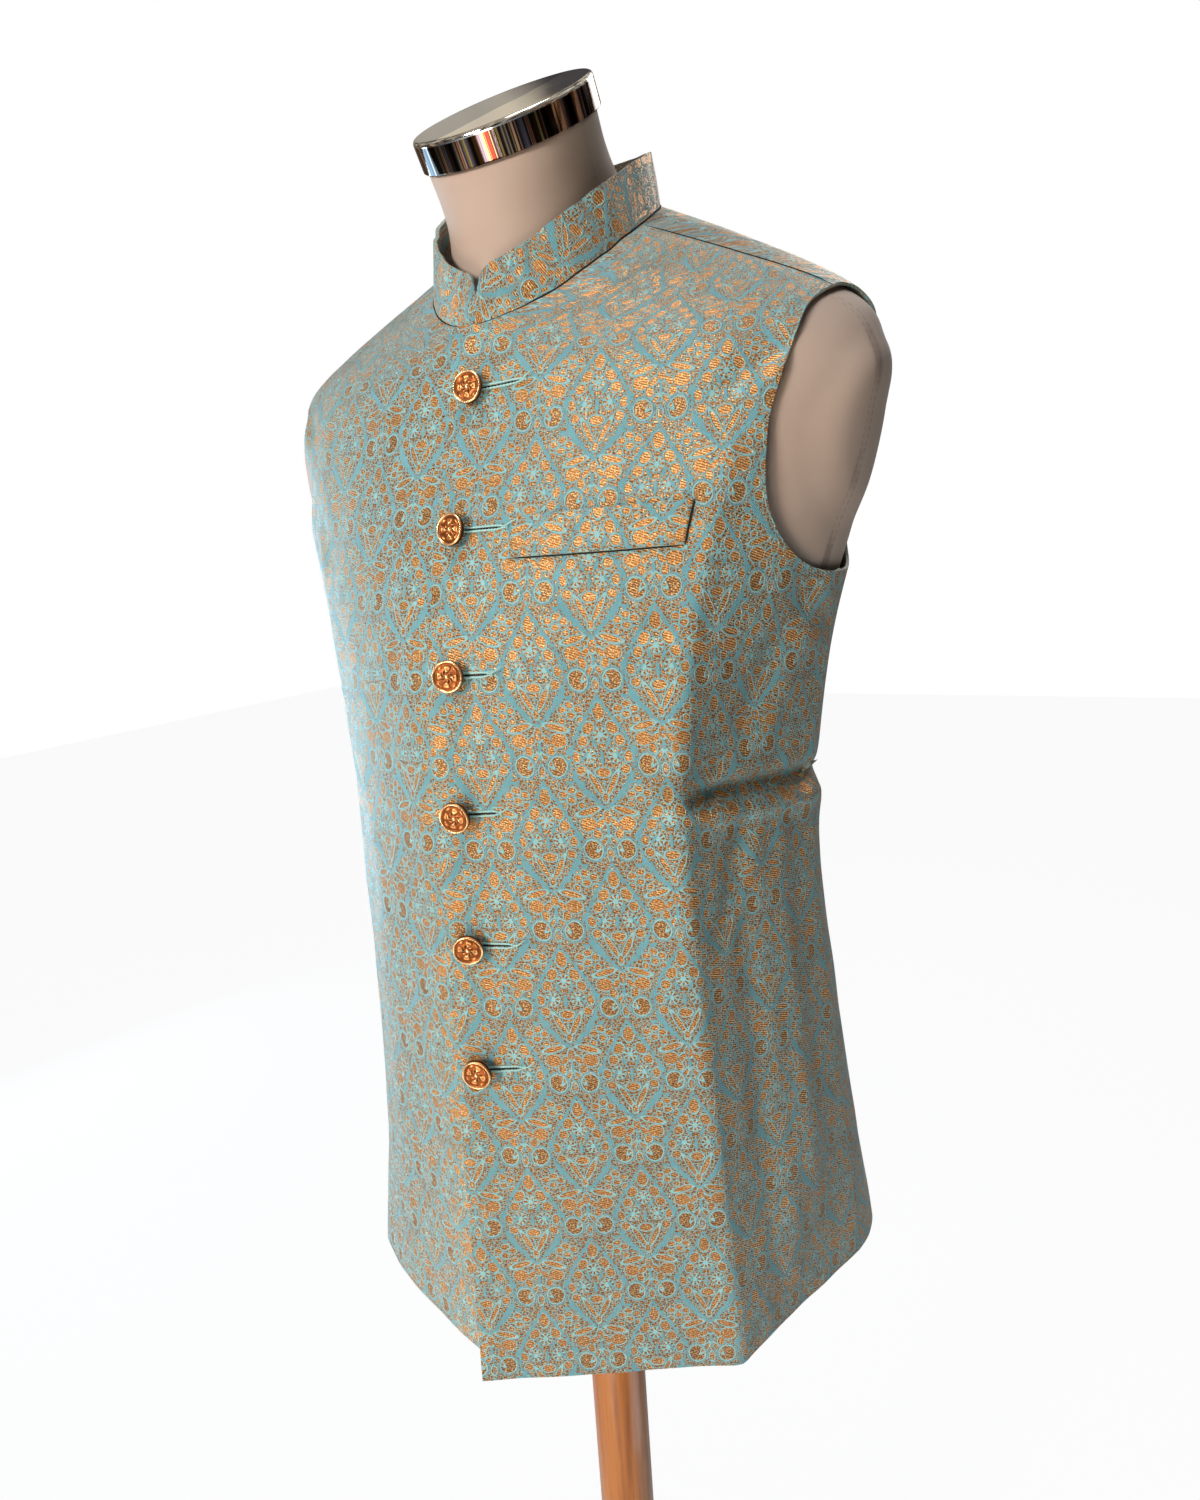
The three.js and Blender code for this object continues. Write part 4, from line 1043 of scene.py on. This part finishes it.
def thread(name, path, radius, stitches=0.0, silk=None):
    """A thread along a path of points in jacket millimetres, tapered at its ends; stitches is how
    many times its radius swells and thins, as in a row of buttonhole stitch."""
    count = len(path)
    t = np.linspace(0, 1, count)
    tangent = unit(np.gradient(path, axis=0))
    side = unit(np.cross(tangent, np.array([0.31, -0.2, 0.93])))
    over = np.cross(tangent, side)
    around = np.linspace(0, 2 * np.pi, 10, endpoint=False)
    taper = np.clip(np.minimum(t, 1 - t) * 12, 0.3, 1)
    swell = radius * (1 + 0.28 * np.sin(2 * np.pi * stitches * t)) * taper
    points = path[:, None] + swell[:, None, None] * (np.cos(around)[None, :, None] * side[:, None]
                                                     + np.sin(around)[None, :, None] * over[:, None])
    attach(solid_mesh(name, points, [silk or silk_thread]), "root")


for k, (v, (length, slant, curl)) in enumerate(zip(button_levels, HOLES)):
    t = np.linspace(0, 1, 60)
    reach = length / FOLD_SCALE * HOLE_SPREAD
    for lip, drop in (("upper", 1.3), ("lower", -1.5)):
        lip_v = v + drop * (1 - smooth(0.75, 1.0, t) * 0.75) + slant * t
        path = left_front(HOLE_START + reach * t, lip_v, HOLE_THREAD * 0.7 + 0.1)
        thread(f"buttonhole_{k + 1}_{lip}", path, HOLE_THREAD * 1.25, 15)
    bar_v = v + slant + np.linspace(2.4, -2.4, 30)
    bar = left_front(np.full(30, HOLE_START + reach), bar_v, HOLE_THREAD + 0.1)
    thread(f"buttonhole_{k + 1}_bar", bar, HOLE_THREAD * 1.1, 5)
    # Painted shadow in the slit: a near-black cord between the lips.
    slit_shadow = left_front(0.006 + reach * 0.97 * t, v - 0.1 + slant * t, 0.12)
    thread(f"buttonhole_{k + 1}_slit", slit_shadow, 0.42, silk=seam_shade)
    wave = np.sin(t * curl)
    tail = left_front(HOLE_START + reach * 0.93 + 0.011 * t + 0.004 * wave,
                      v + slant + 0.5 + 4.6 * wave * t, 0.9 + 1.8 * np.sin(np.pi * t))
    thread(f"thread_end_{k + 1}", tail, 0.4)
arch_t = np.linspace(0, 1, 50)
arch = left_front(-0.014 - 0.011 * np.sin(np.pi * arch_t), button_levels[0] + 4.5 - 9 * arch_t,
                  0.5 + 3.4 * np.sin(np.pi * arch_t))
thread("shank_thread", arch, 0.62)


# ---- Seam lines: painted shadow ----
# Where two edges of brocade turn in together the seam's shade shows as a narrow dark line: at the foot of
# the collar, at the foot and outer end of the welt, and along the shoulders. Each is painted shadow: a fine
# near-black cord lying in the gap.
t = np.linspace(0, 1, 500)
# Painted shadow at the foot of the collar.
thread("collar_seam_shadow", neckline(0.01 + 1.98 * t) + np.array([0, 0, 0.25]), 0.55, silk=seam_shade)
t = t[:120]
t = t / t[-1]
# Painted shadow at the welt's foot and outer end.
foot = left_front(WELT_START + (WELT_END - WELT_START) * t, WELT_LOW - 0.5, 0.15)
thread("welt_foot_seam_shadow", foot, 0.45, silk=seam_shade)
end = left_front(WELT_END + 0.0012, WELT_LOW + (WELT_HIGH - WELT_LOW) * t, 0.5)
thread("welt_end_seam_shadow", end, 0.55, silk=seam_shade)
# Painted shadow along each shoulder seam.
for side, cloth in ((1, left_front), (-1, plain_cloth)):
    level = ARMHOLE_HIGH + (NECK_LEVEL - 1 - ARMHOLE_HIGH) * t
    line = cloth(side * (front_edge(level) + SEAM_GAP / FOLD_SCALE), level, 0.0)
    thread(f"shoulder_seam_shadow_{'left' if side > 0 else 'right'}", line, 0.5, silk=seam_shade)


# ---- Dress form ----
# A limbless torso of padded papier-mache under stretched linen, closed below and by the slant of
# the neck. The linen is seamed down each side and up each side of the neck.
FORM_INSET = 4.0
FORM_LOW, FORM_HIGH = 80.0, 814.4
LINEN_SEAM_U = 0.452
LINEN_SCALE = 480.0            # millimetres of linen to a unit of u
FORM_RINGS = np.array([
    [80, 80, 80, -124, 152, -124, 152, 154, 0, 154, 108, 108, 0.56, 0.57, 0],
    [180, 180, 180, -126, 154, -126, 154, 156, 0, 156, 106, 106, 0.56, 0.57, 0],
    [330, 330, 330, -120, 144, -120, 144, 145, 0, 145, 90, 90, 0.56, 0.57, 0],
    [420, 420, 420, -134, 158, -134, 158, 158, 0, 158, 98, 98, 0.56, 0.57, 0],
    [500, 498, 502, -146, 185, -144, 185, 186, 0, 186, 106, 106, 0.56, 0.57, FORM_INSET],
    *(ring + [FORM_INSET] for ring in CHEST_RINGS[1:] + SLOPE_RINGS[:2]),
    [735, 679, 763, -95, 134, -95, 134, 134, 0, 134, 82, 82, 0.55, 0.57, FORM_INSET],
    [755, 698, 781, -84, 72, -84, 72, 72, -4, 72, 62, 62, 0.56, 0.57, 1],
    [775, 722, 802, -80, 58, -80, 58, 58, -14, 58, 42, 42, 0.56, 0.56, 0],
    [797, 752, 822, -82, 54, -82, 54, 54, -28, 54, 24, 24, 0.56, 0.56, 0],
    [814.4, 784.6, 844.2, -90, 57, -90, 57, 57, -42, 57, 6, 6, 0.56, 0.56, 0]])


def form(u, v):
    return body(FORM_RINGS[:, :14], u, np.clip(v, FORM_LOW, FORM_HIGH))


def form_normal(u, v):
    across = form(u + 0.002, v) - form(u - 0.002, v)
    up = form(u, np.minimum(v + 1, FORM_HIGH)) - form(u, np.maximum(v - 1, FORM_LOW))
    return unit(np.cross(across, up))


form_v = np.concatenate([np.linspace(FORM_LOW, 500, 60), np.linspace(505, FORM_HIGH, 150)])[:, None]
form_u = np.linspace(0, 2, 160, endpoint=False)[None]
around = np.where(form_u > 1, form_u - 2, form_u)
aside = np.abs(around) - seam_u(form_v)
cut = np.where(aside < 0, ARMHOLE_FRONT_CUT, ARMHOLE_BACK_CUT)
reach = np.hypot(aside / cut, 2 * armhole_height(form_v) - 1)
swell = (FORM_INSET - 0.4) * (1 - smooth(0.4, 0.75, reach))
inset = rings_at(FORM_RINGS, form_v[:, 0])[:, 14][:, None] - swell
form_points = form(form_u, form_v) - form_normal(form_u, form_v) * inset[..., None]
seam_run = np.broadcast_to(np.abs(np.abs(around) - LINEN_SEAM_U), form_points.shape[:2]) * LINEN_SCALE


def linen():
    """Old beige linen, tight and smooth, mottled with wear, with a stitched seam at each side."""
    material, wire, shader = finish_of(
        "form_linen_cloth", roughness=0.8, sheen_weight=0.15, specular_ior_level=0.3)
    spot = wire.node("TexCoord", outlet=3)
    stain = spot.noise(14.0, 4.0)
    weave = spot.noise(850.0, 2.0)
    seam = wire.node("Attribute", {"attribute_name": "seam"}, {}, 2)
    height = spot.parts()[2]
    stitch = wire.math("GREATER_THAN", wire.math("SINE", height * (2 * np.pi / 0.0042)), -0.2)
    line = seam.within(0.45, 0.25)
    sewn_line = abs(seam - 3.2).within(0.35, 0.2) * stitch
    worn = stain.within(0.44, 0.05) * seam.within(5.0, 3.0)
    tone = colour(wire, "C9B2A2").mix(colour(wire, "AE9585"), stain).mix(colour(wire, "5E4A42"), line * 0.75)
    tone = tone.mix(colour(wire, "7A655B"), sewn_line * 0.6).mix(colour(wire, "6B554C"), worn * 0.5)
    relief = weave * 0.4 - line * 1.5 - sewn_line * 0.6
    plug(wire, shader, base_color=tone,
         normal=relief.bump(0.35, 0.0004))
    return material


form_piece = solid_mesh("form_torso", form_points, [linen()], attribute=("seam", seam_run))
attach(form_piece, "root")
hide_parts("form_body")


# ---- Neck cap ----
# A spun and chromed steel lid, pressed over the top of the neck and tipped forwards with it.
CAP_RADIUS, CAP_THICKNESS, CAP_TOP_ROUND = 60.3, 19.0, 2.6
CAP_TILT = np.radians(31.8)
CAP_PLACE = np.array([0, -41.5, 815.1])


def chrome():
    """Bright chrome, hazed by fingermarks and fine wiping scratches. Its colour holds a painted reflection
    of the room round it: upright bands on its wall, two broad fields, dark and cream, on its top, and a
    painted highlight round the rim."""
    material, wire, shader = finish_of("polished_chrome", metallic=1.0)
    spot = wire.node("TexCoord", outlet=3)
    from_axis = wire.node("VectorMath", {"operation": "SUBTRACT"}, {
        0: spot, 1: tuple(jacket_centre + CAP_PLACE * MM)})
    level = wire.node("Mapping", {"vector_type": "TEXTURE"}, {
        "Vector": from_axis, "Rotation": (CAP_TILT, 0, 0)})
    across, deep, height = level.parts()
    # Painted reflection: upright bands of the shop's shelves and lamps, toned into the wall's colour.
    reflection_bands = wire.math("ARCTAN2", across, deep).noise(7.5, 3.0, "1D")
    wall = reflection_bands.ramp([
        (0.34, paint("0C0A0A")), (0.43, paint("3E2712")), (0.46, paint("0F0D0E")), (0.52, paint("6E6470")),
        (0.545, paint("B39A52")), (0.57, paint("1C1618")), (0.62, paint("7A3026")), (0.66, paint("D8B796"))])
    # Painted reflection on the top: a dark field and a cream one.
    reflection_field = (across + spot.noise(22.0, 1.0) * 0.03 - deep * 0.4).rise(0.0195, 0.0215)
    top = colour(wire, "55545A").mix(colour(wire, "F2E8D4"), reflection_field)
    on_top = height.rise(0.0182, 0.0188)
    # Painted highlight: a near-white line round the rim's edge.
    rim = abs(height - 0.0172).within(0.0011, 0.0004)
    tone = wall.mix(top, on_top).mix(colour(wire, "F4F4F0"), rim)
    haze = spot.noise(30.0, 5.0)
    scratch = spot.noise(700.0, 3.0)
    plug(wire, shader, base_color=tone, roughness=0.03 + haze * haze * 0.14,
         normal=(scratch + haze * 2.0).bump(0.05, 0.0003))
    return material


def spun(profile, count, tilt=0.0, place=(0, 0, 0)):
    """Points of a body of revolution about +Z from radius and height pairs, tipped about X."""
    profile = np.asarray(profile, float)
    sweep = np.linspace(0, 2 * np.pi, count, endpoint=False)
    r, z = profile[:, :1], profile[:, 1:]
    x, y, z = np.broadcast_arrays(r * np.cos(sweep), r * np.sin(sweep), z)
    return np.stack([x, y * np.cos(tilt) - z * np.sin(tilt), y * np.sin(tilt) + z * np.cos(tilt)], -1) + place


bend = np.linspace(0, np.pi / 2, 9)
top_in, top_up = CAP_TOP_ROUND * (1 - np.cos(bend)), CAP_TOP_ROUND * (np.sin(bend) - 1)
cap_profile = np.concatenate([
    [[1, 0], [CAP_RADIUS - 2, 0]],
    np.stack([CAP_RADIUS - 1 + np.sin(bend), 1 - np.cos(bend)], 1),
    np.stack([CAP_RADIUS - top_in, CAP_THICKNESS + top_up], 1),
    [[CAP_RADIUS - 5, CAP_THICKNESS], [40, CAP_THICKNESS], [20, CAP_THICKNESS], [1, CAP_THICKNESS]]])
cap = solid_mesh("neck_cap_lid", spun(cap_profile, 160, CAP_TILT, CAP_PLACE), [chrome()])
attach(cap, "root")
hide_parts("neck_cap")


# ---- Pole and base ----
# Turned hardwood under orange-brown varnish: a straight pole let into a heavy round base.
POLE_RADIUS, BASE_RADIUS = 22.4, 190.0
BASE_HUB = 34.0
TURNED_EDGE = [(BASE_RADIUS, 14), (189.4, 16.5), (187.6, 18.6), (184, 20), (120, 21), (54, 22), (48, 22.6),
               (41, 24.6), (36, 27.4), (33.6, 30.5), (33, 33), (32, BASE_HUB), (1, BASE_HUB)]


def varnished_wood(name, upright):
    """Fine long grain of two browns under a clear varnish. upright tells the pole, whose grain runs
    along +Z, from the base, whose grain runs along X."""
    material, wire, shader = finish_of(name, roughness=0.38, coat_weight=0.6, coat_roughness=0.12)
    spot = wire.node("TexCoord", outlet=3)
    stretch = (60, 60, 2.2) if upright else (3, 60, 60)
    long_grain = wire.node("Mapping", {"vector_type": "POINT"}, {"Vector": spot, "Scale": stretch})
    grain = wire.node("TexNoise", {}, {"Vector": long_grain, "Scale": 3.0, "Detail": 6.0, "Distortion": 0.6})
    fine = long_grain.noise(22.0, 3.0)
    browns = [(0.2, paint("6E3609")), (0.5, paint("A65F18")), (0.8, paint("C07A2A"))]
    tone = (grain * 0.75 + fine * 0.25).ramp(browns)
    plug(wire, shader, base_color=tone,
         normal=fine.bump(0.12, 0.0003))
    return material


to_floor = -(jacket_centre / MM)
pole_low, pole_high = BASE_HUB + SEAM_GAP, (jacket_centre[2] / MM) + FORM_LOW - SEAM_GAP
pole_profile = [[1, pole_low], [POLE_RADIUS - 0.6, pole_low], [POLE_RADIUS, pole_low + 0.6],
                [POLE_RADIUS, pole_high - 1.5], [POLE_RADIUS - 1.5, pole_high], [1, pole_high]]
pole = solid_mesh("turned_pole", spun(pole_profile, 96, 0, to_floor), [varnished_wood("pole_wood", True)])
edge_round = np.stack([BASE_RADIUS - 2 + 2 * np.sin(bend), 2 - 2 * np.cos(bend)], 1)
base_profile = np.concatenate([[[1, 0]], edge_round, TURNED_EDGE])
base = solid_mesh("round_base", spun(base_profile, 160, 0, to_floor), [varnished_wood("base_wood", False)])
for piece, node in ((pole, "pole"), (base, "base")):
    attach(piece, "root")
    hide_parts(node)
